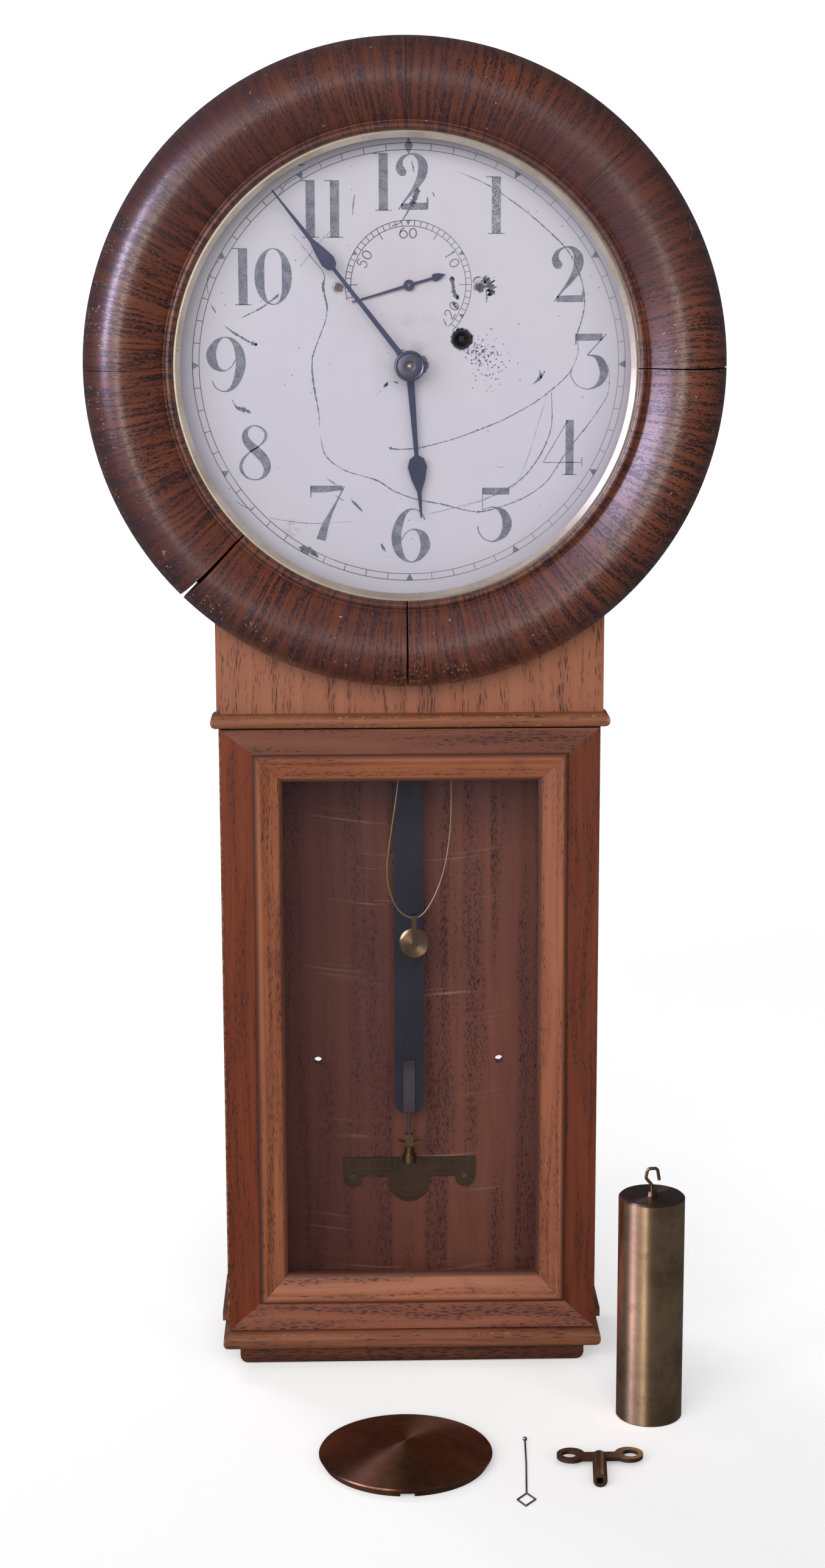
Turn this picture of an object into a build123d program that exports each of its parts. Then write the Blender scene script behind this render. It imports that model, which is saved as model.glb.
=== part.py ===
"""Weight-driven schoolhouse wall clock in oak, stood upright for transport.

Millimetres. The clock faces -Y, +X is to its right as seen from the front and +Z is up.
The origin is the centre of the underside of the base block, on the floor.
Depths named *_Y are absolute; front() turns a depth behind the door's face into one.
"""

from build123d import *
import math
import os

# ---------------------------------------------------------------- driving dimensions
CASE_DEPTH = 102.0                       # door face to wall
FRONT_Y = -CASE_DEPTH / 2 - 1.0          # plane of the trunk door's face
DIAL_Z = 704.0                           # dial centre above the floor

RING_R = 212.6                           # wooden bezel, outside
RING_BACK = 6.9                          # depth of its back behind the door face
RING_X, RING_Z = -2.6, -1.6              # it has sagged from the dial centre by this much

CASE_HALF_W = 131.0
CASE_TOP_Z = DIAL_Z + 162.0
BOARD = 12.0                             # thickness of the case's boards
BACKBOARD = 10.0
SIDE_FRONT = 20.0                        # depth of the case's open front edge

DOOR_HALF_W, DOOR_LOW_Z, DOOR_TOP_Z = 128.8, 28.3, 460.1
DOOR_THICK = 18.0
STILE_W, RAIL_TOP_W, RAIL_LOW_W = 21.4, 17.0, 19.8
MOULDING = 20.0                          # width of the sloping moulding inside it
DOOR_PIVOT_X, DOOR_PIVOT_DEPTH = 125.5, 14.0

BEAD_LOW_Z, BEAD_TOP_Z = 460.9, 470.0
NOSING_LOW_Z, NOSING_TOP_Z = 15.0, 27.5

DIAL_R, DIAL_FRONT = 157.0, 7.2
DIAL_BOARD_R = 203.0
HINGE_FLAT_X = 188.0                     # flat cut on the dial board for the bezel hinge
HINGE_X, HINGE_DEPTH = 192.4, 11.6

# movement, seen from the front, relative to the dial centre
GREAT_X, GREAT_Z = 34.8, 16.8
THIRD_X, THIRD_Z = -16.2, 27.0
ESCAPE_Z = 52.0
VERGE_Z = 77.0
MOTION_X, MOTION_Z = -10.182, -10.182
PLATE_FRONT, PLATE_BACK = 26.0, 64.0     # depths of the two plates' front faces
PLATE = 2.5
PLATE_X = (-60.0, 76.0)
PLATE_Z = (-48.0, 88.0)

MINUTE_ANGLE, HOUR_ANGLE, SECONDS_ANGLE = -38.2, 175.6, 253.9
ROD_DEPTH = 75.0                         # middle of the pendulum rod
ROD_HALF_W, ROD_THICK = 10.5, 5.0
CABLE_D, CABLE_DEPTH = 1.2, 46.0

FIT = 0.06                               # radial clearance of a running fit
BIG = 600.0


def front(depth):
    """Absolute Y of a plane that lies this far behind the door's face."""
    return FRONT_Y + depth


def slab(x0, x1, d0, d1, z0, z1):
    """Box between two widths, two depths behind the door's face and two heights."""
    size = (x1 - x0, d1 - d0, z1 - z0)
    return Pos((x0 + x1) / 2, front((d0 + d1) / 2), (z0 + z1) / 2) * Box(*size)


def disc(x, z, radius, d0, d1):
    """Cylinder along Y. x and z are relative to the dial centre."""
    place = Pos(x, front((d0 + d1) / 2), DIAL_Z + z)
    return place * Rot(90, 0, 0) * Cylinder(radius, d1 - d0)


def post(x, y, radius, z0, z1):
    """Upright cylinder at an absolute x and y."""
    return Pos(x, y, (z0 + z1) / 2) * Cylinder(radius, z1 - z0)


def plate_of(outline, d0, d1):
    """Plate cut to an (x, z) outline in absolute coordinates."""
    points = [(x, front(d0), z) for x, z in outline]
    face = make_face(Polyline(*points, close=True))
    return extrude(face, amount=d1 - d0, dir=(0, 1, 0))


def turned(profile, x, y, z, axis):
    """Solid of revolution of (radius, height) points about an axis through a point."""
    face = make_face(Polyline(*[(r, 0, h) for r, h in profile], close=True))
    solid = revolve(face, Axis.Z)
    tilt = Rot(-90, 0, 0) if axis == "Y" else Rot(0, 0, 0)
    return Pos(x, y, z) * tilt * solid


def save(name, shape):
    """One STEP file for each named piece."""
    export_step(shape, f"parts/{name}.step")


def group(*solids):
    """Separate solids that share one node."""
    return Compound(children=list(solids))


os.makedirs("parts", exist_ok=True)

# ---------------------------------------------------------------- case boards
for side, name in ((-1, "case_side_left"), (1, "case_side_right")):
    inner, outer = CASE_HALF_W - BOARD, CASE_HALF_W
    low, high = sorted((side * inner, side * outer))
    save(name, slab(low, high, SIDE_FRONT, CASE_DEPTH - BACKBOARD,
                    NOSING_TOP_Z, CASE_TOP_Z - BOARD))

STAY_X, STAY_Z, STAY_R = 66.0, DIAL_Z - 506.0, 3.0
HANGER_HALF_W, HANGER_THICK, HANGER_HOLE_R = 18.0, 2.0, 4.0
HANGER_LOW_Z, HANGER_HOLE_Z = CASE_TOP_Z - 26.0, CASE_TOP_Z + 12.0
HANGER_SCREWS_X, HANGER_SCREW_Z = (-9.0, 9.0), CASE_TOP_Z - 16.0 - DIAL_Z
backboard = slab(-CASE_HALF_W, CASE_HALF_W, CASE_DEPTH - BACKBOARD, CASE_DEPTH,
                 NOSING_TOP_Z, CASE_TOP_Z)
backboard -= slab(-HANGER_HALF_W, HANGER_HALF_W, CASE_DEPTH - HANGER_THICK, CASE_DEPTH + 1,
                  HANGER_LOW_Z, CASE_TOP_Z + 1)
for x in (-STAY_X, STAY_X):
    backboard -= disc(x, STAY_Z - DIAL_Z, STAY_R, 80, 110)
for x in HANGER_SCREWS_X:
    backboard -= disc(x, HANGER_SCREW_Z, 1.5, CASE_DEPTH - 7, CASE_DEPTH + 1)
save("backboard", backboard)

hanger = plate_of([(-HANGER_HALF_W, HANGER_LOW_Z), (HANGER_HALF_W, HANGER_LOW_Z),
                   (HANGER_HALF_W, CASE_TOP_Z + 8), (9, CASE_TOP_Z + 22),
                   (-9, CASE_TOP_Z + 22), (-HANGER_HALF_W, CASE_TOP_Z + 8)],
                  CASE_DEPTH - HANGER_THICK, CASE_DEPTH)
hanger -= disc(0, HANGER_HOLE_Z - DIAL_Z, HANGER_HOLE_R, 90, 110)
for x in HANGER_SCREWS_X:
    hanger -= disc(x, HANGER_SCREW_Z, 1.5, CASE_DEPTH - 7, CASE_DEPTH + 1)
save("hanger_plate", hanger)

save("top_board", slab(-CASE_HALF_W, CASE_HALF_W, SIDE_FRONT, CASE_DEPTH - BACKBOARD,
                       CASE_TOP_Z - BOARD, CASE_TOP_Z))

BLOCK_HALF_W, BLOCK_ROUND = 122.0, 9.0
block = slab(-BLOCK_HALF_W, BLOCK_HALF_W, 2, CASE_DEPTH, 0, NOSING_LOW_Z)
lower = block.edges().group_by(Axis.Z)[0]
lower = lower.filter_by(lambda e: e.center().Y < front(CASE_DEPTH - 5))
save("base_block", fillet(lower, BLOCK_ROUND))

NOSING_HALF_W = 133.5
nosing = slab(-NOSING_HALF_W, NOSING_HALF_W, -7, CASE_DEPTH, NOSING_LOW_Z, NOSING_TOP_Z)
nosing_edges = nosing.edges().filter_by(
    lambda e: e.center().Y < front(CASE_DEPTH - 5) and abs(e.center().Z - 21.25) > 5)
save("base_nosing", fillet(nosing_edges, 5.6))

COVE_W, COVE_H, COVE_R = 4.0, 15.0, 13.0
coves = []
for side in (-1, 1):
    low, high = sorted((side * CASE_HALF_W, side * (CASE_HALF_W + COVE_W)))
    cove = slab(low, high, SIDE_FRONT, CASE_DEPTH - BACKBOARD,
                NOSING_TOP_Z, NOSING_TOP_Z + COVE_H)
    hollow = Pos(side * (CASE_HALF_W + 0.4 + COVE_R), 0, NOSING_TOP_Z + 2.2 + COVE_R)
    coves.append(cove - hollow * Rot(90, 0, 0) * Cylinder(COVE_R, 400))
save("base_coves", group(*coves))

NECK_HALF_W = 131.6
neck = slab(-NECK_HALF_W, NECK_HALF_W, 8, SIDE_FRONT, BEAD_TOP_Z, 575)
neck -= disc(0, 0, DIAL_BOARD_R + 0.2, 0, 40)
save("neck_board", neck.solids().sort_by(SortBy.VOLUME)[-1])

dial_board = disc(0, 0, DIAL_BOARD_R, 8, SIDE_FRONT)
dial_board -= disc(0, 0, 94.0, 0, 40)
dial_board -= slab(HINGE_FLAT_X, BIG, 0, 40, 400, 1000)
save("dial_board", dial_board)

bead = slab(-135.5, 135.5, -3, SIDE_FRONT, BEAD_LOW_Z, BEAD_TOP_Z)
bead -= post(DOOR_PIVOT_X, front(DOOR_PIVOT_DEPTH), 1.5, 400, 466)
bead_edges = bead.edges().filter_by(
    lambda e: e.center().Y < front(SIDE_FRONT - 1) and e.length > 8
    and (abs(e.center().Z - BEAD_LOW_Z) < 0.1 or abs(e.center().Z - BEAD_TOP_Z) < 0.1)
    and abs(e.center().X - DOOR_PIVOT_X) > 2)
save("bead_strip", fillet(bead_edges, 4.2))

# ---------------------------------------------------------------- dial and its fittings
GROMMET_R, GROMMET_BORE_R = 6.5, 5.0
DIAL_SCREW_X, DIAL_SCREW_Z = 46.5, 50.5
PIPE_HOLE_R = 5.2

dial = disc(0, 0, DIAL_R, DIAL_FRONT, 8)
dial -= disc(0, 0, PIPE_HOLE_R, 0, 20)
dial -= disc(0, ESCAPE_Z, 1.6, 0, 20)
dial -= disc(GREAT_X, GREAT_Z, GROMMET_R - 1, 0, 20)
for x in (-DIAL_SCREW_X, DIAL_SCREW_X):
    dial -= disc(x, DIAL_SCREW_Z, 1.3, 0, 20)
save("dial", dial)

grommet = disc(GREAT_X, GREAT_Z, GROMMET_R, DIAL_FRONT - 1.2, DIAL_FRONT)
grommet += disc(GREAT_X, GREAT_Z, GROMMET_R - 1, DIAL_FRONT - 1.2, 12)
grommet -= disc(GREAT_X, GREAT_Z, GROMMET_BORE_R, 0, 20)
save("winding_grommet", grommet)


def round_head_screw(x, z, depth, length, head_r=2.6):
    """Slotted screw whose head stands proud of a face at this depth."""
    head = disc(x, z, head_r, depth - 1.5, depth)
    shank = disc(x, z, 1.3, depth, depth + length)
    slot = slab(x - 0.4, x + 0.4, depth - 2, depth - 0.9, DIAL_Z + z - 4, DIAL_Z + z + 4)
    return head + shank - slot


SCALE_TOP_Z, SCALE_DEPTH = -580.0, CASE_DEPTH - BACKBOARD - 1.2
SCALE_SCREWS = ((-41.0, -594.0), (41.0, -594.0))
screws = [round_head_screw(x, DIAL_SCREW_Z, DIAL_FRONT, PLATE_FRONT + PLATE - DIAL_FRONT)
          for x in (-DIAL_SCREW_X, DIAL_SCREW_X)]
screws += [round_head_screw(x, z, SCALE_DEPTH, 1.2, head_r=2.2) for x, z in SCALE_SCREWS]
screws += [disc(x, HANGER_SCREW_Z, 1.5, CASE_DEPTH - 7, CASE_DEPTH) for x in HANGER_SCREWS_X]
save("round_head_screws", group(*screws))

scale = slab(-48, 49, SCALE_DEPTH, CASE_DEPTH - BACKBOARD, DIAL_Z + SCALE_TOP_Z - 15,
             DIAL_Z + SCALE_TOP_Z)
scale += disc(0, SCALE_TOP_Z - 19, 15, SCALE_DEPTH, CASE_DEPTH - BACKBOARD)
for x, z in SCALE_SCREWS:
    scale += disc(x, z - 2, 7, SCALE_DEPTH, CASE_DEPTH - BACKBOARD)
    scale -= disc(x, z, 1.3, 80, 100)
save("beat_scale", scale)

# ---------------------------------------------------------------- bezel: eight oak segments
ring_profile = [(152, RING_BACK), (152, -22.5), (152.8, -25.2), (154.8, -26.2), (156.8, -25.2),
                (157.8, -22.6), (158.6, -22.6), (165, -28.4), (172, -33.6), (178, -36.6),
                (184, -38.0), (189.8, -37.4), (196, -34.6), (201.4, -29.6), (206.2, -22.4),
                (209.8, -13.2), (212, -4), (RING_R, 1.5), (211.7, RING_BACK)]
ring = turned(ring_profile, RING_X, front(0), DIAL_Z + RING_Z, "Y")

# clockwise hour of each joint, gap at the inner edge, gap at the outer edge
CRACKS = ((0.0, 0.2, 0.3), (1.5, 0.2, 0.3), (3.0, 0.8, 1.1), (4.5, 0.2, 0.4),
          (6.0, 1.5, 2.4), (7.5, 1.6, 5.0), (9.0, 0.2, 0.4), (10.5, 0.2, 0.3))
for hour, inner_gap, outer_gap in CRACKS:
    wedge = make_face(Polyline((-inner_gap / 2, 0, 148), (-outer_gap / 2, 0, 216),
                               (outer_gap / 2, 0, 216), (inner_gap / 2, 0, 148), close=True))
    wedge = extrude(wedge, amount=80, dir=(0, 1, 0), both=True)
    ring -= Pos(RING_X, FRONT_Y, DIAL_Z + RING_Z) * Rot(0, hour * 30, 0) * wedge
save("bezel_segments", group(*ring.solids()))

sight = turned([(151.9, -22), (151.9, -12), (151.3, -12), (151.3, -20.6), (147.6, -15.6),
                (147.6, -16.8), (150.6, -22)], RING_X, front(0), DIAL_Z + RING_Z, "Y")
save("sight_ring", sight)
save("dial_glass", disc(RING_X, RING_Z, 151.2, -15.2, -13.2))

# ---------------------------------------------------------------- bezel hinge
KNUCKLE_R, PIN_R, HINGE_HALF = 2.6, 1.0, 40.0
hinge_y = front(HINGE_DEPTH)
ring_leaf = slab(HINGE_X, 205, RING_BACK, 8.8, DIAL_Z - 12, DIAL_Z + 12)
ring_leaf += slab(HINGE_X, HINGE_X + 2.6, RING_BACK, HINGE_DEPTH, DIAL_Z - 12, DIAL_Z + 12)
ring_leaf += post(HINGE_X, hinge_y, KNUCKLE_R, DIAL_Z - 12, DIAL_Z + 12)
ring_leaf -= post(HINGE_X, hinge_y, PIN_R + FIT, DIAL_Z - 20, DIAL_Z + 20)
save("bezel_hinge_leaf", ring_leaf)

case_leaf = slab(HINGE_FLAT_X, HINGE_FLAT_X + 1.3, 8, SIDE_FRONT,
                 DIAL_Z - HINGE_HALF, DIAL_Z + HINGE_HALF)
for low, high in ((DIAL_Z - HINGE_HALF, DIAL_Z - 12.4), (DIAL_Z + 12.4, DIAL_Z + HINGE_HALF)):
    case_leaf += post(HINGE_X, hinge_y, KNUCKLE_R, low, high)
    case_leaf += slab(HINGE_FLAT_X, HINGE_X, HINGE_DEPTH, HINGE_DEPTH + 1.3, low, high)
case_leaf += post(HINGE_X, hinge_y, PIN_R, DIAL_Z - HINGE_HALF, DIAL_Z + HINGE_HALF)
save("bezel_hinge_case_leaf", case_leaf)

# ---------------------------------------------------------------- trunk door
pin_holes = post(DOOR_PIVOT_X, front(DOOR_PIVOT_DEPTH), 1.5 + FIT, 20, 34.6)
pin_holes += post(DOOR_PIVOT_X, front(DOOR_PIVOT_DEPTH), 1.5 + FIT, 454.4, 470)
pins = [post(DOOR_PIVOT_X, front(DOOR_PIVOT_DEPTH), 1.5, NOSING_TOP_Z, 34.0),
        post(DOOR_PIVOT_X, front(DOOR_PIVOT_DEPTH), 1.5, 455.0, 466.0)]
save("door_pivot_pins", group(*pins))


def mitred(side, outer, inner):
    """Prism that keeps one side of a frame between two rectangles.

    Each rectangle is (half width, low, high); the joints run from corner to corner.
    """
    ends = []
    for half_w, low, high in (outer, inner):
        ends.append({"left": ((-half_w, low), (-half_w, high)),
                     "right": ((half_w, low), (half_w, high)),
                     "bottom": ((-half_w, low), (half_w, low)),
                     "top": ((-half_w, high), (half_w, high))}[side])
    (outer_a, outer_b), (inner_a, inner_b) = ends
    return plate_of([outer_a, inner_a, inner_b, outer_b], -20, 40)


IN_HALF_W = DOOR_HALF_W - STILE_W
IN_LOW_Z, IN_TOP_Z = DOOR_LOW_Z + RAIL_LOW_W, DOOR_TOP_Z - RAIL_TOP_W
door_outside = (DOOR_HALF_W, DOOR_LOW_Z, DOOR_TOP_Z)
moulding_outside = (IN_HALF_W, IN_LOW_Z, IN_TOP_Z)
moulding_inside = (IN_HALF_W - MOULDING, IN_LOW_Z + MOULDING, IN_TOP_Z - MOULDING)
frame = slab(-DOOR_HALF_W, DOOR_HALF_W, 0, DOOR_THICK, DOOR_LOW_Z, DOOR_TOP_Z)
names = {"left": "door_stile_left", "right": "door_stile_right",
         "bottom": "door_rail_bottom", "top": "door_rail_top"}
for side, name in names.items():
    piece = frame & mitred(side, door_outside, moulding_outside)
    save(name, piece - pin_holes)

# (distance in from the moulding's outer edge, depth behind the door's face)
MOULDING_PROFILE = [(0, 14), (0, -1.2), (1.2, -2.6), (3.4, -3.0), (5.4, -2.4), (7.4, -0.8),
                    (16, 3.2), (20, 5.6), (20, 9.6), (15, 9.6), (15, 14)]
mouldings = []
for side in ("left", "right", "bottom", "top"):
    if side in ("left", "right"):
        sign = -1 if side == "left" else 1
        points = [(sign * (IN_HALF_W - d), front(depth), 0) for d, depth in MOULDING_PROFILE]
        bar = extrude(make_face(Polyline(*points, close=True)), amount=BIG, dir=(0, 0, 1))
    else:
        edge, sign = (IN_LOW_Z, 1) if side == "bottom" else (IN_TOP_Z, -1)
        points = [(-BIG / 2, front(depth), edge + sign * d) for d, depth in MOULDING_PROFILE]
        bar = extrude(make_face(Polyline(*points, close=True)), amount=BIG, dir=(1, 0, 0))
    mouldings.append(bar & mitred(side, moulding_outside, moulding_inside))
save("door_mouldings", group(*[piece.solids()[0] for piece in mouldings]))
save("door_glass", slab(-(IN_HALF_W - 15.4), IN_HALF_W - 15.4, 9.8, 12.0,
                        IN_LOW_Z + 15.4, IN_TOP_Z - 15.4))

catch = slab(-119, -117.8, 23, 40, 236, 256)
catch += slab(-119, -110, 20, 21.2, 240, 252)
catch += slab(-119, -117.8, 20, 24, 240, 252)
save("door_catch", catch)

# ---------------------------------------------------------------- movement frame
SEAT_TOP_Z = DIAL_Z + PLATE_Z[0]
SEAT_THICK = 10.0
CABLE_ANCHOR_X, CABLE_HOLE_X = -2.0, 24.0
seat = slab(-(CASE_HALF_W - BOARD), CASE_HALF_W - BOARD, 24, 69,
            SEAT_TOP_Z - SEAT_THICK, SEAT_TOP_Z)
seat -= post(CABLE_HOLE_X, front(CABLE_DEPTH), 2.0, 0, 900)
save("seat_board", seat)

PILLARS = ((-52, -41), (68, -41), (-52, 80), (68, 80))
ARBORS = ((0, 0), (GREAT_X, GREAT_Z), (THIRD_X, THIRD_Z), (0, ESCAPE_Z), (0, VERGE_Z))
ARBOR_R = {(0, 0): 1.5, (GREAT_X, GREAT_Z): 2.6, (THIRD_X, THIRD_Z): 1.2,
           (0, ESCAPE_Z): 0.9, (0, VERGE_Z): 1.2}
for name, depth in (("movement_front_plate", PLATE_FRONT), ("movement_back_plate", PLATE_BACK)):
    plate = slab(*PLATE_X, depth, depth + PLATE, DIAL_Z + PLATE_Z[0], DIAL_Z + PLATE_Z[1])
    plate = fillet(plate.edges().filter_by(Axis.Y), 6)
    for (x, z) in ARBORS:
        plate -= disc(x, z, ARBOR_R[x, z] + FIT, depth - 1, depth + PLATE + 1)
    for x, z in PILLARS:
        plate -= disc(x, z, 2.0, depth - 1, depth + PLATE + 1)
    if depth == PLATE_FRONT:
        plate -= disc(MOTION_X, MOTION_Z, 1.0, depth - 1, depth + PLATE + 1)
        for x in (-DIAL_SCREW_X, DIAL_SCREW_X):
            plate -= disc(x, DIAL_SCREW_Z, 1.3, depth - 1, depth + PLATE + 1)
    save(name, plate)

pillars = []
for x, z in PILLARS:
    pillar = disc(x, z, 4.0, PLATE_FRONT + PLATE, PLATE_BACK)
    pillar += disc(x, z, 2.0, PLATE_FRONT - 2.4, PLATE_BACK + PLATE + 2.0)
    pillar += disc(x, z, 3.4, PLATE_FRONT - 2.0, PLATE_FRONT)
    pillar += disc(x, z, 3.4, PLATE_BACK + PLATE, PLATE_BACK + PLATE + 1.8)
    pillars.append(pillar)
save("plate_pillars", group(*pillars))

# ---------------------------------------------------------------- wheels of the train
WHEEL_TOOTH = (0.40, 0.16, 0.75, 1.10)   # width at pitch, at tip, addendum, dedendum
LEAF_TOOTH = (0.34, 0.14, 0.75, 1.15)


def toothed(x, z, teeth, module, towards, d0, d1, tooth, gap=False):
    """Toothed disc. A tooth, or a gap between teeth, points along the angle towards."""
    pitch_r, step = module * teeth / 2, 2 * math.pi / teeth
    at_pitch, at_tip, addendum, dedendum = tooth
    start = math.radians(towards) + (step / 2 if gap else 0)
    radii = (pitch_r - dedendum * module, pitch_r, pitch_r + addendum * module)
    shares = (at_pitch * 1.15, at_pitch, at_tip)
    outline = []
    for number in range(teeth):
        middle = start + number * step
        rising = [(-share * step / 2, r) for share, r in zip(shares, radii)]
        falling = [(-a, r) for a, r in reversed(rising)]
        outline += [(x + r * math.cos(middle + a), DIAL_Z + z + r * math.sin(middle + a))
                    for a, r in rising + falling]
    return plate_of(outline, d0, d1)


def spoked(wheel, x, z, hub_r, rim_r, d0, d1, arms=4):
    """Opens a wheel between its hub and rim, leaving straight arms."""
    opening = disc(x, z, rim_r, d0, d1) - disc(x, z, hub_r, d0, d1)
    for number in range(arms):
        arm = slab(-1.8, 1.8, d0, d1, 0, rim_r + 1)
        turn = Rot(0, number * 360 / arms + 20, 0)
        opening -= Pos(x, FRONT_Y, DIAL_Z + z) * turn * Pos(0, -FRONT_Y, 0) * arm
    return wheel - opening


def bearing(x0, z0, x1, z1):
    """Direction in degrees from one arbor to another."""
    return math.degrees(math.atan2(z1 - z0, x1 - x0))


to_great = bearing(0, 0, GREAT_X, GREAT_Z)
to_third = bearing(0, 0, THIRD_X, THIRD_Z)
third_to_escape = bearing(THIRD_X, THIRD_Z, 0, ESCAPE_Z)
to_motion = bearing(0, 0, MOTION_X, MOTION_Z)
GREAT_MODULE = 2 * math.hypot(GREAT_X, GREAT_Z) / (144 + 12)
TRAIN_MODULE, CANNON_MODULE, HOUR_MODULE = 0.7, 0.6, 0.576

CENTRE_TIP = -9.2                        # front end of the centre arbor
centre = spoked(toothed(0, 0, 80, TRAIN_MODULE, to_third, 60, 61.5, WHEEL_TOOTH),
                0, 0, 6, 24, 60, 61.5)
centre += disc(0, 0, 1.5, CENTRE_TIP, PLATE_BACK + PLATE)
centre += disc(0, 0, 3.4, 57, 60)
centre += toothed(0, 0, 12, GREAT_MODULE, to_great, 30.5, 35.5, LEAF_TOOTH, gap=True)
centre += toothed(0, 0, 12, CANNON_MODULE, to_motion, 23.4, 25.4, LEAF_TOOTH, gap=True)
centre += disc(0, 0, 2.6, -6.0, 25.4)
save("centre_wheel", centre)

minute_wheel = toothed(MOTION_X, MOTION_Z, 36, CANNON_MODULE, to_motion + 180, 23.8, 25.0,
                       WHEEL_TOOTH)
minute_wheel += toothed(MOTION_X, MOTION_Z, 10, HOUR_MODULE, to_motion + 180, 20.4, 23.8,
                        LEAF_TOOTH, gap=True)
minute_wheel += disc(MOTION_X, MOTION_Z, 0.94, 20.4, PLATE_FRONT + PLATE)
save("minute_wheel", minute_wheel)

hour_wheel = toothed(0, 0, 40, HOUR_MODULE, to_motion, 20.8, 22.0, WHEEL_TOOTH)
hour_wheel += disc(0, 0, 4.2, 0.4, 22.0)
hour_wheel -= disc(0, 0, 2.6 + FIT, -5, 30)
save("hour_wheel", hour_wheel)

third = spoked(toothed(THIRD_X, THIRD_Z, 75, TRAIN_MODULE, third_to_escape, 40, 41.5,
                       WHEEL_TOOTH), THIRD_X, THIRD_Z, 5, 22.5, 40, 41.5)
third += disc(THIRD_X, THIRD_Z, 1.2, PLATE_FRONT, PLATE_BACK + PLATE)
third += disc(THIRD_X, THIRD_Z, 2.4, 38, 44)
third += toothed(THIRD_X, THIRD_Z, 10, TRAIN_MODULE, to_third + 180, 58.5, 62.5,
                 LEAF_TOOTH, gap=True)
save("third_wheel", third)

ESCAPE_R, ESCAPE_TEETH = 17.0, 40
escape_points = []
for number in range(ESCAPE_TEETH):
    angle = 2 * math.pi * number / ESCAPE_TEETH
    for lean, r in ((0.0, 14.6), (0.075, ESCAPE_R), (0.086, ESCAPE_R), (0.10, 14.6)):
        escape_points.append((r * math.sin(angle + lean),
                              DIAL_Z + ESCAPE_Z + r * math.cos(angle + lean)))
escape = spoked(plate_of(escape_points, 50, 51.2), 0, ESCAPE_Z, 3.5, 12.4, 50, 51.2)
escape += disc(0, ESCAPE_Z, 0.9, 3.6, PLATE_BACK + PLATE)
escape += disc(0, ESCAPE_Z, 2.0, 48.5, 53)
escape += toothed(0, ESCAPE_Z, 10, TRAIN_MODULE, third_to_escape + 180, 38.5, 43.0,
                  LEAF_TOOTH, gap=True)
save("escape_wheel", escape)

DRUM_R = 12.0
great = spoked(toothed(GREAT_X, GREAT_Z, 144, GREAT_MODULE, to_great + 180, 32, 34,
                       WHEEL_TOOTH), GREAT_X, GREAT_Z, 19, 31, 32, 34)
great -= disc(GREAT_X, GREAT_Z, 2.6 + FIT, 30, 36)
great += disc(GREAT_X + 16.6, GREAT_Z, 1.0, 34, 36.6)
save("great_wheel", great)

drum = disc(GREAT_X, GREAT_Z, DRUM_R, 38, 56)
drum += disc(GREAT_X, GREAT_Z, DRUM_R + 2.4, 55, 57)
drum += disc(GREAT_X, GREAT_Z, 2.6, PLATE_FRONT - 6, PLATE_BACK + PLATE)
square = slab(-1.8, 1.8, 9.6, PLATE_FRONT - 6, -1.8, 1.8)
drum += Pos(GREAT_X, 0, DIAL_Z + GREAT_Z) * square
RATCHET_TEETH = 20
ratchet_points = []
for number in range(RATCHET_TEETH):
    angle = 2 * math.pi * number / RATCHET_TEETH
    for lean, r in ((0.0, DRUM_R), (0.0, DRUM_R + 2.2)):
        ratchet_points.append((GREAT_X + r * math.cos(angle + lean),
                               DIAL_Z + GREAT_Z + r * math.sin(angle + lean)))
drum += plate_of(ratchet_points, 36, 38)
save("winding_drum", drum)

click_x, click_z = GREAT_X + 16.6, DIAL_Z + GREAT_Z
click = plate_of([(click_x - 2.2, click_z + 1.6), (click_x + 2.2, click_z + 1.6),
                  (click_x + 2.4, click_z - 2.0), (click_x - 4.6, click_z - 11.6),
                  (click_x - 6.3, click_z - 10.1), (click_x - 2.6, click_z - 3.0)], 34.3, 35.7)
click += plate_of([(click_x - 4.6, click_z - 11.6), (click_x - 6.3, click_z - 10.1),
                   (click_x - 5.2, click_z - 9.0), (click_x - 3.8, click_z - 10.4)], 35.7, 37.4)
click -= disc(GREAT_X + 16.6, GREAT_Z, 1.0 + FIT, 30, 40)
save("ratchet_click", click)

# ---------------------------------------------------------------- verge, crutch and cock
verge = disc(0, VERGE_Z, 1.2, PLATE_FRONT, 70.5)
verge += disc(0, VERGE_Z, 2.6, 48, 53)
for side in (-1, 1):
    arm = plate_of([(0, DIAL_Z + VERGE_Z + 1.6), (side * 12.4, DIAL_Z + VERGE_Z - 7.4),
                    (side * 11.6, DIAL_Z + VERGE_Z - 10.6),
                    (side * 10.2, DIAL_Z + VERGE_Z - 9.8),
                    (side * 9.6, DIAL_Z + VERGE_Z - 7.0), (0, DIAL_Z + VERGE_Z - 2.4)],
                   50, 51.4)
    verge += arm
CRUTCH_Z = 20.0
verge += slab(-1.0, 1.0, 68.5, 70.5, DIAL_Z + CRUTCH_Z - 1.2, DIAL_Z + VERGE_Z)
verge += disc(0, CRUTCH_Z, 1.0, 69, ROD_DEPTH + 4)
save("verge_and_crutch", verge)

COCK_Z = VERGE_Z + 5.0
cock = slab(-7, 7, PLATE_BACK + PLATE, 68.0, DIAL_Z + COCK_Z, DIAL_Z + PLATE_Z[1])
cock += slab(-7, 7, 68.0, 80, DIAL_Z + COCK_Z, DIAL_Z + COCK_Z + 5)
cock -= slab(-1.0, 1.0, 70.6, 81, DIAL_Z + COCK_Z - 1, DIAL_Z + COCK_Z + 8)
save("suspension_cock", cock)

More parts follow.
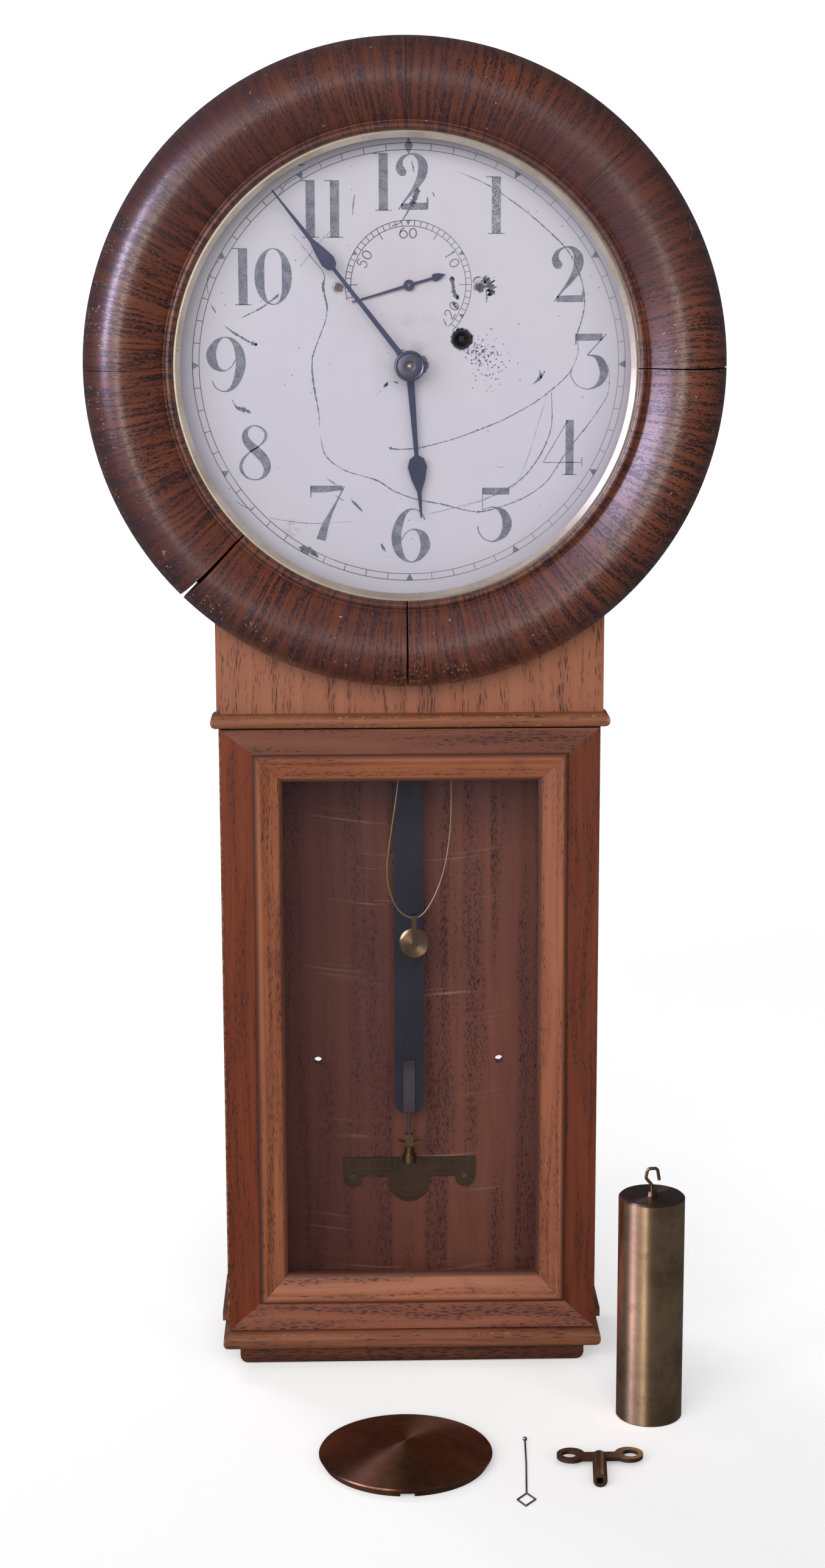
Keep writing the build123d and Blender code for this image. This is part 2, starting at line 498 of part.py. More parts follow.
# ---------------------------------------------------------------- pendulum
SPRING_TOP, ROD_TOP, ROD_FOOT = VERGE_Z + 10.6, VERGE_Z - 13.0, -540.0
rod_front, rod_back = ROD_DEPTH - ROD_THICK / 2, ROD_DEPTH + ROD_THICK / 2
spring = slab(-0.15, 0.15, 71, 79, DIAL_Z + ROD_TOP - 4, DIAL_Z + SPRING_TOP)
spring += slab(-3.2, 3.2, 71, 79, DIAL_Z + SPRING_TOP, DIAL_Z + SPRING_TOP + 2.4)
save("suspension_spring", spring)

rod = slab(-ROD_HALF_W, ROD_HALF_W, rod_front, rod_back, DIAL_Z + ROD_FOOT, DIAL_Z + ROD_TOP)
rod = fillet(rod.edges().filter_by(Axis.Y).group_by(Axis.Z)[0], 8.0)
rod -= slab(-0.15, 0.15, 71, 79, DIAL_Z + ROD_TOP - 4, DIAL_Z + ROD_TOP + 1)
rod -= slab(-1.2, 1.2, rod_front - 1, rod_back + 1, DIAL_Z + CRUTCH_Z - 6,
            DIAL_Z + CRUTCH_Z + 6)
save("pendulum_rod", rod)

STRIP_HALF_W, STRIP_TOP = 4.15, -500.0
strip_front = rod_front - 1.6
strip = slab(-STRIP_HALF_W, STRIP_HALF_W, strip_front, rod_front, DIAL_Z + ROD_FOOT + 1,
             DIAL_Z + STRIP_TOP)
for z in (-508.0, -531.0):
    strip += disc(0, z, 1.0, strip_front - 0.7, strip_front)
SCREW_R, SCREW_DEPTH = 1.3, 73.2
screw = post(0, front(SCREW_DEPTH), SCREW_R, DIAL_Z - 579, DIAL_Z + ROD_FOOT + 4)
rod_tip = strip + screw
save("rod_tip_and_screw", rod_tip - rod)

seat_block = slab(-3, 3, SCREW_DEPTH - 3, SCREW_DEPTH + 3, DIAL_Z - 563, DIAL_Z - 556)
for side in (-1, 1):
    wing = plate_of([(side * 1, DIAL_Z - 564.2), (side * 8, DIAL_Z - 561.5),
                     (side * 8, DIAL_Z - 560.3), (side * 1, DIAL_Z - 563)],
                    SCREW_DEPTH - 3, SCREW_DEPTH + 3)
    seat_block += wing
seat_block += slab(-3, 3, SCREW_DEPTH - 3, SCREW_DEPTH + 3, DIAL_Z - 565, DIAL_Z - 563)
seat_block -= post(0, front(SCREW_DEPTH), SCREW_R + FIT, 0, 300)
save("bob_seat", seat_block)

nut = post(0, front(SCREW_DEPTH), 5.2, DIAL_Z - 577.5, DIAL_Z - 571)
nut += post(0, front(SCREW_DEPTH), 3.4, DIAL_Z - 571, DIAL_Z - 565.3)
nut -= post(0, front(SCREW_DEPTH), SCREW_R + FIT, 0, 300)
save("rating_nut", nut)

# ---------------------------------------------------------------- hands


def hand_outline(hub_r, root_w, neck_w, leaf_low, leaf_wide, leaf_w, leaf_top, tip):
    """Spade hand pointing up: tapering arm, round-shouldered leaf, needle point."""
    right = [(root_w, hub_r * 0.7), (neck_w, leaf_low), (leaf_w * 0.75, leaf_low + 2.2),
             (leaf_w, leaf_wide), (leaf_w * 0.72, (leaf_wide + leaf_top) / 2),
             (1.5, leaf_top), (0.55, tip)]
    left = [(-x, z) for x, z in reversed(right)]
    return right + left


def hand(outline, z, d0, d1, angle):
    """Flat hand cut to an outline and turned clockwise about its own arbor."""
    flat = plate_of(outline, d0, d1)
    return Pos(0, 0, DIAL_Z + z) * Rot(0, angle, 0) * flat


minute_hand = hand(hand_outline(10, 1.9, 1.2, 79.6, 86, 4.9, 103, 144), 0, -6.0, -4.8,
                   MINUTE_ANGLE)
minute_hand += turned([(0, -10.8), (3.2, -10.4), (7.4, -9.4), (9.6, -7.6), (10, -6), (10, -4.4),
                       (0, -4.4)], 0, front(0), DIAL_Z, "Y")
minute_hand -= disc(0, 0, 2.6, -6.0, 0)
minute_hand -= disc(0, 0, 1.5, CENTRE_TIP, 0)
save("minute_hand", minute_hand)

hour_hand = hand(hand_outline(10, 2.5, 1.4, 59.6, 67, 6.4, 84, 101), 0, 1.2, 2.4, HOUR_ANGLE)
hour_hand += disc(0, 0, 9.0, 0.6, 2.8)
hour_hand -= disc(0, 0, 4.2, -5, 10)
save("hour_hand", hour_hand)

seconds = [(-1.0, 0), (-0.5, 39), (0.5, 39), (1.0, 0), (0.8, -15.5), (2.6, -17.0),
           (2.2, -20.5), (0.2, -25), (-2.2, -20.5), (-2.6, -17.0), (-0.8, -15.5)]
seconds_hand = hand(seconds, ESCAPE_Z, 4.4, 5.0, SECONDS_ANGLE)
seconds_hand += disc(0, ESCAPE_Z, 3.6, 3.6, 5.8)
seconds_hand -= disc(0, ESCAPE_Z, 0.9, 0, 10)
save("seconds_hand", seconds_hand)

# ---------------------------------------------------------------- winding cable and pulley
# free hanging loop: one end pinned under the seat board, the other up through its hole
CABLE_TOP_Z = SEAT_TOP_Z - SEAT_THICK
CABLE_ROUTE = [(-2.0, CABLE_TOP_Z - 7), (-2.6, 606), (-1.4, 562), (-1.9, 514), (-4.2, 462),
               (-7.6, 412), (-13.6, 374), (-16.8, 346), (-10.4, 324), (0.6, 315.4),
               (10.8, 318.6), (22.6, 342), (28.9, 374), (29.8, 414), (27.2, 462), (25.6, 512),
               (25.6, 560), (24.2, 606), (CABLE_HOLE_X, CABLE_TOP_Z + 6)]
route = [Vector(x, front(CABLE_DEPTH), z) for x, z in CABLE_ROUTE]
radii = []
for before, corner, after in zip(route, route[1:], route[2:]):
    turn = math.radians((corner - before).get_angle(after - corner))
    shorter = min((corner - before).length, (after - corner).length)
    radii.append(0.45 * shorter / math.tan(turn / 2))
print("cable radii", [round(r, 1) for r in radii])
path = FilletPolyline(*route, radius=radii)
section = Plane(origin=path @ 0, z_dir=path % 0) * Circle(CABLE_D / 2)
cable = sweep(section, path=path)
print("cable length", round(path.length, 1), "volume ratio",
      round(cable.volume / (math.pi * CABLE_D ** 2 / 4 * path.length), 4))
save("winding_cable", cable)

anchor = post(CABLE_ANCHOR_X, front(CABLE_DEPTH), 2.2, CABLE_TOP_Z - 7, CABLE_TOP_Z)
anchor += slab(-9, 5, CABLE_DEPTH - 3, CABLE_DEPTH + 3, CABLE_TOP_Z - 1.6, CABLE_TOP_Z)
save("cable_anchor", anchor)

# the pulley has slipped its weight and hangs by its hook from the bottom of the loop
SHEAVE_X, SHEAVE_Z, SHEAVE_R = 3.2, -406.0, 10.6
sheave = turned([(1.36, -2.6), (SHEAVE_R - 1, -2.6), (SHEAVE_R, -2.0), (SHEAVE_R, -1.5),
                 (SHEAVE_R - 2.6, -0.5), (SHEAVE_R - 2.6, 0.5), (SHEAVE_R, 1.5),
                 (SHEAVE_R, 2.0), (SHEAVE_R - 1, 2.6), (1.36, 2.6)],
                SHEAVE_X, front(CABLE_DEPTH), DIAL_Z + SHEAVE_Z, "Y")
save("pulley_sheave", sheave)

YOKE_TOP = SHEAVE_Z + 19.4
yoke = disc(SHEAVE_X, SHEAVE_Z, 1.3, CABLE_DEPTH - 4.2, CABLE_DEPTH + 4.2)
for d0, d1 in ((CABLE_DEPTH - 4.2, CABLE_DEPTH - 3.2), (CABLE_DEPTH + 3.2, CABLE_DEPTH + 4.2)):
    yoke += slab(SHEAVE_X - 1.6, SHEAVE_X + 1.6, d0, d1, DIAL_Z + SHEAVE_Z - 2,
                 DIAL_Z + YOKE_TOP + 1.6)
yoke += slab(SHEAVE_X - 1.6, SHEAVE_X + 1.6, CABLE_DEPTH - 4.2, CABLE_DEPTH + 4.2,
             DIAL_Z + YOKE_TOP + 0.4, DIAL_Z + YOKE_TOP + 1.6)
save("pulley_yoke", yoke)

# ---------------------------------------------------------------- loose pieces on the floor
WEIGHT_X, WEIGHT_Y, WEIGHT_R, WEIGHT_H = 159.0, front(-85.0), 22.25, 157.0
shell = turned([(0, 0), (WEIGHT_R - 0.8, 0), (WEIGHT_R, 0.8), (WEIGHT_R, WEIGHT_H - 1.2),
                (WEIGHT_R - 1.2, WEIGHT_H), (4, WEIGHT_H), (3.4, WEIGHT_H + 3),
                (0, WEIGHT_H + 3)], WEIGHT_X, WEIGHT_Y, 0, "Z")
shell -= post(WEIGHT_X, WEIGHT_Y, 1.1, WEIGHT_H - 6, WEIGHT_H + 8)
save("weight", shell)

hook_path = FilletPolyline((0, 0, WEIGHT_H - 6), (0, 0, WEIGHT_H + 7), (-4.2, 0, WEIGHT_H + 12),
                           (-3.0, 0, WEIGHT_H + 18.4), (3.4, 0, WEIGHT_H + 18.8),
                           (4.8, 0, WEIGHT_H + 10.5), radius=[2.2, 2.2, 2.2, 2.2])
hook = sweep(Plane(origin=hook_path @ 0, z_dir=hook_path % 0) * Circle(1.1), path=hook_path)
save("weight_hook", Pos(WEIGHT_X, WEIGHT_Y, 0) * hook)

BOB_X, BOB_Y, BOB_R, BOB_RIM = -8.0, front(-150.0), 57.0, 5.0
bob = turned([(0, 0), (BOB_R - 3, 0), (BOB_R, BOB_RIM), (BOB_R - 0.6, BOB_RIM + 0.9),
              (BOB_R - 14, BOB_RIM + 4.4), (BOB_R - 32, BOB_RIM + 7.4),
              (BOB_R - 50, BOB_RIM + 8.5), (0, BOB_RIM + 8.6)], BOB_X, BOB_Y, 0, "Z")
bob -= Pos(BOB_X, BOB_Y, 1.2) * Box(9.2, 130, 2.8)
save("pendulum_bob", bob)

KEY_X, KEY_Y, KEY_Z, KEY_R = 119.0, front(-160.0), 4.7, 4.6
barrel_end = front(-195.0)
barrel = Pos(KEY_X - 1.8, (KEY_Y + barrel_end) / 2, KEY_Z) * Rot(0, 0, -4) * (
    Rot(90, 0, 0) * Cylinder(KEY_R, KEY_Y - barrel_end))
wings = Pos(KEY_X, KEY_Y, KEY_Z) * Box(26, 9, 2.6)
for side in (-1, 1):
    wings += Pos(KEY_X + side * 19, KEY_Y + 2, KEY_Z) * Cylinder(9.3, 2.6)
for side in (-1, 1):
    wings -= Pos(KEY_X + side * 20, KEY_Y + 2, KEY_Z) * Cylinder(5.0, 5)
key = barrel + wings
key -= Pos(KEY_X - 3.4, barrel_end, KEY_Z) * Rot(0, 0, -4) * Box(3.9, 34, 3.9)
save("winding_key", key)

WIRE_R = 0.6
ball = (72.0, front(-125.0), 1.5)
diamond = [(68.0, front(-203.0)), (61.6, front(-211.5)), (66.4, front(-220.4)),
           (73.2, front(-211.5)), (68.6, front(-203.6))]
wire_points = [(ball[0], ball[1], 1.5), (70.6, front(-160.0), WIRE_R)]
wire_points += [(x, y, WIRE_R) for x, y in diamond]
wire = Pos(*ball) * Sphere(1.5)
for (x0, y0, z0), (x1, y1, z1) in zip(wire_points, wire_points[1:]):
    start, end = Vector(x0, y0, z0), Vector(x1, y1, z1)
    run = end - start
    wire += Plane(origin=(start + end) / 2, z_dir=run) * Cylinder(WIRE_R, run.length)
    wire += Pos(*end) * Sphere(WIRE_R)
save("loop_wire", wire)
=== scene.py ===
import math

import bpy
import numpy as np
from mathutils import Matrix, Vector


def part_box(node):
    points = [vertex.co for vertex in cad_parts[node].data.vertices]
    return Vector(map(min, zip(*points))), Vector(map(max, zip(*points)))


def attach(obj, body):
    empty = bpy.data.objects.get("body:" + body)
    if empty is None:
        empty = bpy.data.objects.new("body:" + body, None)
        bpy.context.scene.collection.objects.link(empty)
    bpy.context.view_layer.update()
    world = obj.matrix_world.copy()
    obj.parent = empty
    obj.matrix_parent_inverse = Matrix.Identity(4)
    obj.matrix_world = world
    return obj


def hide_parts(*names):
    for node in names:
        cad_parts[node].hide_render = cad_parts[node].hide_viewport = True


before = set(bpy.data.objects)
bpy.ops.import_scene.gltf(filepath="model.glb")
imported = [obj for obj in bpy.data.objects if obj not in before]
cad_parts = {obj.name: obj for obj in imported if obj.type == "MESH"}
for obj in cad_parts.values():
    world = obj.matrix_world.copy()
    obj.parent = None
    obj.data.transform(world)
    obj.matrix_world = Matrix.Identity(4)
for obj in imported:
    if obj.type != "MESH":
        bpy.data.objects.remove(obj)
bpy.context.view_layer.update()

TAU = 2 * math.pi
MM = 0.001
FACE_Y = -0.052                 # plane of the trunk door's face
DIAL_Z = 0.704                  # height of the dial's centre
scene = bpy.context.scene

# ---- camera and studio
# A long lens at chest height, a little left of the middle and looking slightly down. White
# paper sweep for floor and wall. Broad boxes in front, above, behind and at the right light
# matt surfaces, the key box at the left lights all, and two strips show in gloss only.
LENS_MM, FILM_MM = 61.99, 36
CAMERA_PLACE = (-0.0415, -1.853, 0.7855)
PAN, LOOK_DOWN, ROLL = (math.radians(v) for v in (-1.36, 11.403, -0.159))
camera_data = bpy.data.cameras.new("camera")
camera_data.sensor_fit = "VERTICAL"
camera_data.sensor_height = FILM_MM
camera_data.lens = LENS_MM
camera = bpy.data.objects.new("camera", camera_data)
camera.matrix_world = (Matrix.Translation(CAMERA_PLACE)
                       @ Matrix.Rotation(PAN, 4, "Z")
                       @ Matrix.Rotation(math.pi / 2 - LOOK_DOWN, 4, "X")
                       @ Matrix.Rotation(ROLL, 4, "Z"))
scene.collection.objects.link(camera)
scene.camera = camera
scene.view_settings.view_transform = "Standard"


def link(tree, source, target):
    """Joins two sockets of a node tree."""
    tree.links.new(source, target)


def add_piece(name, body, material, points, *polygons, uv=None, sharp=32):
    """Mesh piece from an (n, 3) array of points in metres and arrays of corner indices.

    uv holds one pair per corner, in the order of the polygons. Edges that turn by
    more than sharp degrees stay crisp.
    """
    mesh = bpy.data.meshes.new(name)
    corners = np.concatenate([p.ravel() for p in polygons])
    sizes = np.concatenate([np.full(len(p), p.shape[1]) for p in polygons])
    mesh.vertices.add(len(points))
    mesh.vertices.foreach_set("co", np.ascontiguousarray(points, dtype=np.float32).ravel())
    mesh.loops.add(len(corners))
    mesh.loops.foreach_set("vertex_index", corners.astype(np.int32))
    mesh.polygons.add(len(sizes))
    starts = np.concatenate([[0], np.cumsum(sizes)[:-1]]).astype(np.int32)
    mesh.polygons.foreach_set("loop_start", starts)
    mesh.polygons.foreach_set("use_smooth", np.ones(len(sizes), dtype=bool))
    if uv is not None:
        layer = mesh.uv_layers.new(name="lay")
        layer.data.foreach_set("uv", uv.astype(np.float32).ravel())
    mesh.update(calc_edges=True)
    mesh.validate()
    mesh.set_sharp_from_angle(angle=math.radians(sharp))
    mesh.materials.append(material)
    piece = bpy.data.objects.new(name, mesh)
    scene.collection.objects.link(piece)
    if body:
        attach(piece, body)
    return piece


def grid(rows, columns, wrap=False):
    """Quads of a rows x columns sheet of points; the last column joins the first if wrap."""
    i, j = np.meshgrid(np.arange(rows - 1), np.arange(columns if wrap else columns - 1),
                       indexing="ij")
    k = (j + 1) % columns
    return np.stack([i * columns + j, (i + 1) * columns + j, (i + 1) * columns + k,
                     i * columns + k], -1).reshape(-1, 4)


# A small language for node trees, so that each finish reads as a recipe.
class Recipe:
    """Node tree with one call for each step; every call returns an output socket."""

    def __init__(self, tree):
        self.tree = tree

    def feed(self, node, socket, value):
        """Puts a constant, or a link from another step, into a socket."""
        if isinstance(value, bpy.types.NodeSocket):
            self.tree.links.new(value, node.inputs[socket])
        elif value is not None:
            node.inputs[socket].default_value = value

    def math(self, operation, a, b=None, c=None, clamp=False):
        node = self.tree.nodes.new("ShaderNodeMath")
        node.operation = operation
        node.use_clamp = clamp
        for i, value in enumerate((a, b, c)):
            self.feed(node, i, value)
        return node.outputs[0]

    def times(self, *values):
        """Product of two or more values, taken from the left."""
        result = values[0]
        for value in values[1:]:
            result = self.math("MULTIPLY", result, value)
        return result

    def dress(self, shader, colour=None, rough=None, normal=None):
        """Links a colour, a roughness and a normal to the sockets of a shader."""
        for socket, source in (("Base Color", colour), ("Roughness", rough),
                               ("Normal", normal)):
            if source is not None:
                self.feed(shader, socket, source)

    def vector(self, operation, a, b=None, output=0):
        node = self.tree.nodes.new("ShaderNodeVectorMath")
        node.operation = operation
        self.feed(node, 0, a)
        self.feed(node, 1, b)
        return node.outputs[output]

    def place(self, source="Object"):
        if source == "UV":
            node = self.tree.nodes.new("ShaderNodeUVMap")
            node.uv_map = "lay"
            return node.outputs[0]
        return self.tree.nodes.new("ShaderNodeTexCoord").outputs[source]

    def parts(self, vector):
        node = self.tree.nodes.new("ShaderNodeSeparateXYZ")
        self.feed(node, 0, vector)
        return node.outputs

    def join(self, x, y, z):
        node = self.tree.nodes.new("ShaderNodeCombineXYZ")
        for i, value in enumerate((x, y, z)):
            self.feed(node, i, value)
        return node.outputs[0]

    def noise(self, vector, scale, detail=3.0, rough=0.5, warp=0.0):
        node = self.tree.nodes.new("ShaderNodeTexNoise")
        self.feed(node, "Vector", vector)
        self.feed(node, "Scale", scale)
        node.inputs["Detail"].default_value = detail
        node.inputs["Roughness"].default_value = rough
        node.inputs["Distortion"].default_value = warp
        return node.outputs["Fac"]

    def cells(self, vector, scale):
        node = self.tree.nodes.new("ShaderNodeTexVoronoi")
        self.feed(node, "Vector", vector)
        self.feed(node, "Scale", scale)
        return node.outputs["Distance"]

    def ramp(self, value, low, high):
        """Smooth rise from 0 at low to 1 at high; falls instead where low is above high."""
        node = self.tree.nodes.new("ShaderNodeMapRange")
        node.interpolation_type = "SMOOTHSTEP"
        flip = low > high
        self.feed(node, "Value", value)
        self.feed(node, "From Min", high if flip else low)
        self.feed(node, "From Max", low if flip else high)
        node.inputs["To Min"].default_value = 1.0 if flip else 0.0
        node.inputs["To Max"].default_value = 0.0 if flip else 1.0
        return node.outputs["Result"]

    def mix(self, share, a, b, blend="MIX"):
        node = self.tree.nodes.new("ShaderNodeMix")
        node.data_type = "RGBA"
        node.blend_type = blend
        self.feed(node, 0, share)
        for socket, value in ((6, a), (7, b)):
            self.feed(node, socket, (*value, 1) if isinstance(value, tuple) else value)
        return node.outputs[2]

    def bump(self, height, strength, depth):
        node = self.tree.nodes.new("ShaderNodeBump")
        node.inputs["Strength"].default_value = strength
        node.inputs["Distance"].default_value = depth
        self.feed(node, "Height", height)
        return node.outputs["Normal"]

    def use(self, group, **values):
        node = self.tree.nodes.new("ShaderNodeGroup")
        node.node_tree = group
        for name, value in values.items():
            socket = name.replace("_", " ")
            if isinstance(value, tuple) and len(value) == 3 and \
                    node.inputs[socket].type == "RGBA":
                value = (*value, 1)
            self.feed(node, socket, value)
        return node.outputs


def new_finish(name, **constants):
    """Material with one Principled shader whose named sockets are set to constants."""
    material = bpy.data.materials.new(name)
    material.use_nodes = True
    shader = material.node_tree.nodes["Principled BSDF"]
    for socket, value in constants.items():
        shader.inputs[socket.replace("_", " ")].default_value = value
    return material, Recipe(material.node_tree), shader


def new_group(name, inputs, outputs):
    """Node group with the given (name, kind, default) inputs and (name, kind) outputs."""
    group = bpy.data.node_groups.new(name, "ShaderNodeTree")
    for title, kind, default in inputs:
        socket = group.interface.new_socket(title, in_out="INPUT",
                                            socket_type=f"NodeSocket{kind}")
        if default is not None:
            socket.default_value = default
    for title, kind in outputs:
        group.interface.new_socket(title, in_out="OUTPUT", socket_type=f"NodeSocket{kind}")
    entry = group.nodes.new("NodeGroupInput")
    leave = group.nodes.new("NodeGroupOutput")
    return group, Recipe(group), entry.outputs, leave.inputs


def paint(node, *materials):
    """Gives a CAD node's slots these materials."""
    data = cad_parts[node].data
    if not data.materials:
        data.materials.append(materials[0])
    for i in range(len(data.materials)):
        data.materials[i] = materials[min(i, len(materials) - 1)]


paper, r, _ = new_finish("white_paper_sweep")
nodes = r.tree.nodes
nodes.clear()
depth = r.parts(r.place())[1]
path = nodes.new("ShaderNodeLightPath").outputs
# the wall glows a little more than the floor near the lens, for the camera alone
level = nodes.new("ShaderNodeMapRange")
r.feed(level, "Value", depth)
for socket, value in (("From Min", -0.75), ("From Max", 0.4), ("To Min", 0.10), ("To Max", 0.50)):
    level.inputs[socket].default_value = value
glow = nodes.new("ShaderNodeEmission")
r.feed(glow, "Strength", r.math("MULTIPLY_ADD", path["Is Camera Ray"], level.outputs[0], 0.02))
# painted shade for mirrors, in place of black flags round the set: mirror rays meet dark paper,
# bounced light half of it
mirror_shade_colour = r.mix(path["Is Glossy Ray"], (0.62, 0.62, 0.62), (0.10, 0.10, 0.115))
matte = nodes.new("ShaderNodeBsdfDiffuse")
r.feed(matte, "Color", r.mix(path["Is Camera Ray"], mirror_shade_colour, (0.86, 0.86, 0.86)))
both = nodes.new("ShaderNodeAddShader")
r.feed(both, 0, matte.outputs[0])
r.feed(both, 1, glow.outputs[0])
# the sheet faces backwards, and from behind the camera sees through it to the object
sides = nodes.new("ShaderNodeMixShader")
r.feed(sides, 0, nodes.new("ShaderNodeNewGeometry").outputs["Backfacing"])
r.feed(sides, 1, nodes.new("ShaderNodeBsdfTransparent").outputs[0])
r.feed(sides, 2, both.outputs[0])
r.feed(nodes.new("ShaderNodeOutputMaterial"), "Surface", sides.outputs[0])

# the sweep runs flat, bends up through a quarter circle and ends as a wall
BEND_R = 0.9
bend = np.linspace(0, np.pi / 2, 24)
sweep_y = np.concatenate([[-5.0], 1.0 + BEND_R * np.sin(bend), [1.0 + BEND_R]])
sweep_z = np.concatenate([[0.0], BEND_R - BEND_R * np.cos(bend), [4.5]])
across = np.linspace(-4, 4, 3)
sweep = np.stack([np.tile(across, len(sweep_y)), np.repeat(sweep_y, 3),
                  np.repeat(sweep_z, 3)], -1)
add_piece("paper_sweep", None, paper, sweep, grid(len(sweep_y), 3), sharp=80)


def soft_box(name, place, aim, size, power, tint, matt=True, mirror=True):
    """Rectangular area lamp at a place, facing a point, lighting matt or mirror finishes."""
    lamp = bpy.data.lights.new(name, "AREA")
    lamp.shape = "RECTANGLE"
    lamp.size, lamp.size_y = size
    lamp.energy = power
    lamp.color = tint
    holder = bpy.data.objects.new(name, lamp)
    away = (Matrix.Translation(place).translation - Matrix.Translation(aim).translation)
    turn = away.to_track_quat("Z", "Y").to_matrix().to_4x4()
    holder.matrix_world = Matrix.Translation(place) @ turn
    holder.visible_camera, holder.visible_diffuse, holder.visible_glossy = False, matt, mirror
    scene.collection.objects.link(holder)


soft_box("key_box", (-1.75, -2.1, 1.45), (0, 0, 0.6), (1.0, 1.7), 19, (0.98, 0.96, 1.0))
soft_box("right_box", (1.75, -2.1, 1.3), (0, 0, 0.5), (0.8, 1.6), 11, (1.0, 0.98, 0.97),
         mirror=False)
soft_box("back_box", (-1.4, 1.6, 1.9), (0, 0, 0.5), (0.9, 0.9), 14, (1.0, 1.0, 1.0),
         mirror=False)
soft_box("front_box", (-0.3, -2.9, 1.55), (0, 0, 0.6), (2.4, 1.6), 68, (1.0, 1.0, 1.0),
         mirror=False)
soft_box("top_box", (0.2, -0.6, 3.0), (0, -0.1, 0), (2.2, 1.6), 8, (1.0, 1.0, 1.0),
         mirror=False)
# strips that only mirrors see: the cool sheen on the ring and the light lines on the brass
soft_box("sheen_left", (-2.1, -0.9, 1.3), (0, 0, 0.7), (0.6, 1.3), 85, (0.72, 0.68, 1.0),
         matt=False)
soft_box("sheen_front", (-1.0, -2.4, 0.75), (0, 0, 0.2), (0.5, 1.1), 20, (1.0, 0.96, 0.9),
         matt=False)

world = bpy.data.worlds.new("studio_air")
world.use_nodes = True
scene.world = world
air = world.node_tree.nodes["Background"]
air.inputs["Color"].default_value = (0.96, 0.96, 1.0, 1)
air_path = world.node_tree.nodes.new("ShaderNodeLightPath")
air_level = world.node_tree.nodes.new("ShaderNodeMath")
air_level.operation = "MULTIPLY_ADD"
air_level.inputs[1].default_value = 0.86
air_level.inputs[2].default_value = 0.14
link(world.node_tree, air_path.outputs["Is Camera Ray"], air_level.inputs[0])
link(world.node_tree, air_level.outputs[0], air.inputs["Strength"])


# ---- winding cable
# One length of twisted brass clock cable, let down the trunk from the drum and back up to
# its hook beside the movement. It hangs in a slack loop with the pulley at the bottom.
CABLE_D = 0.0012
CABLE_ROUTE = [(-2, 639), (-2.6, 606), (-1.4, 562), (-1.9, 514), (-4.2, 462), (-7.6, 412),
               (-13.6, 374), (-16.8, 346), (-10.4, 324), (0.6, 315.4), (10.8, 318.6),
               (22.6, 342), (28.9, 374), (29.8, 414), (27.2, 462), (25.6, 512), (25.6, 560),
               (24.2, 606), (24, 652)]
cable_finish, r, shader = new_finish("twisted_brass_cable", Metallic=0.75, Roughness=0.42)
x, y, z = r.parts(r.place("UV"))[:3]
lay_of_strands = r.math("FRACT", r.math("ADD", r.times(x, 420.0), r.times(y, 3.0)))
strand = r.math("ABSOLUTE", r.math("SUBTRACT", lay_of_strands, 0.5))
tarnish = r.noise(r.place(), 90.0, 3.0)
r.dress(shader, r.mix(tarnish, (0.33, 0.21, 0.10), (0.60, 0.44, 0.25)),
        normal=r.bump(strand, 0.6, 0.0002))

cable_curve = bpy.data.curves.new("winding_cable_line", "CURVE")
cable_curve.dimensions = "3D"
line = cable_curve.splines.new("NURBS")
line.points.add(len(CABLE_ROUTE) - 1)
for point, (px, pz) in zip(line.points, CABLE_ROUTE):
    point.co = (px * MM, -0.006, pz * MM, 1)
line.order_u = 3
line.use_endpoint_u = True
cable_curve.bevel_depth = CABLE_D / 2
cable_curve.bevel_resolution = 4
cable_curve.resolution_u = 16
cable_curve.use_fill_caps = True
cable_curve.materials.append(cable_finish)
cable = bpy.data.objects.new("twisted_winding_cable", cable_curve)
scene.collection.objects.link(cable)
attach(cable, "case")
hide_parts("winding_cable")

# ---- oak
# Fumed and stained oak under old varnish: long open pores along the grain, darker bands of
# early wood, fine fibre, and ray flecks. Every oak board below takes its grain from here.
oak, r, given, out = new_group("oak_grain", [
    ("Along", "Vector", None), ("Pale", "Color", (0.3, 0.12, 0.05, 1)),
    ("Deep", "Color", (0.1, 0.04, 0.02, 1)), ("Pore", "Color", (0.02, 0.012, 0.012, 1)),
    ("Pore Length", "Float", 0.009), ("Pore Width", "Float", 0.0014),
    ("Pore Share", "Float", 0.5), ("Band Width", "Float", 0.012)],
    [("Color", "Color"), ("Roughness", "Float"), ("Height", "Float")])
gx, gy, gz = r.parts(given["Along"])[:3]
wander = r.noise(given["Along"], 9.0, 2.0)
gx = r.math("MULTIPLY_ADD", wander, 0.008, gx)
cross = r.join(r.math("DIVIDE", gx, given["Band Width"]),
               r.math("DIVIDE", gy, given["Band Width"]),
               r.math("DIVIDE", gz, r.times(given["Band Width"], 22.0)))
bands = r.noise(cross, 1.0, 3.0, 0.6, 0.4)
fibre = r.noise(r.join(r.times(gx, 1900.0), r.times(gy, 1900.0), r.times(gz, 60.0)), 1.0, 2.0)
pore_place = r.join(r.math("DIVIDE", gx, given["Pore Width"]),
                    r.math("DIVIDE", gy, given["Pore Width"]),
                    r.math("DIVIDE", gz, given["Pore Length"]))
pore_distance = r.cells(pore_place, 1.0)
pore_reach = r.times(given["Pore Share"], 0.85, r.ramp(bands, 0.30, 0.62))
pores = r.ramp(r.math("SUBTRACT", pore_distance, pore_reach), 0.02, -0.12)
patch = r.noise(given["Along"], 6.0, 3.0)
wood = r.mix(r.ramp(bands, 0.3, 0.7), given["Pale"], given["Deep"])
wood = r.mix(r.times(r.ramp(fibre, 0.35, 0.75), 0.38), wood, given["Deep"])
wood = r.mix(r.times(r.ramp(patch, 0.45, 0.75), 0.35), wood, given["Pale"])
link(r.tree, r.mix(r.times(pores, 0.86), wood, given["Pore"]), out["Color"])
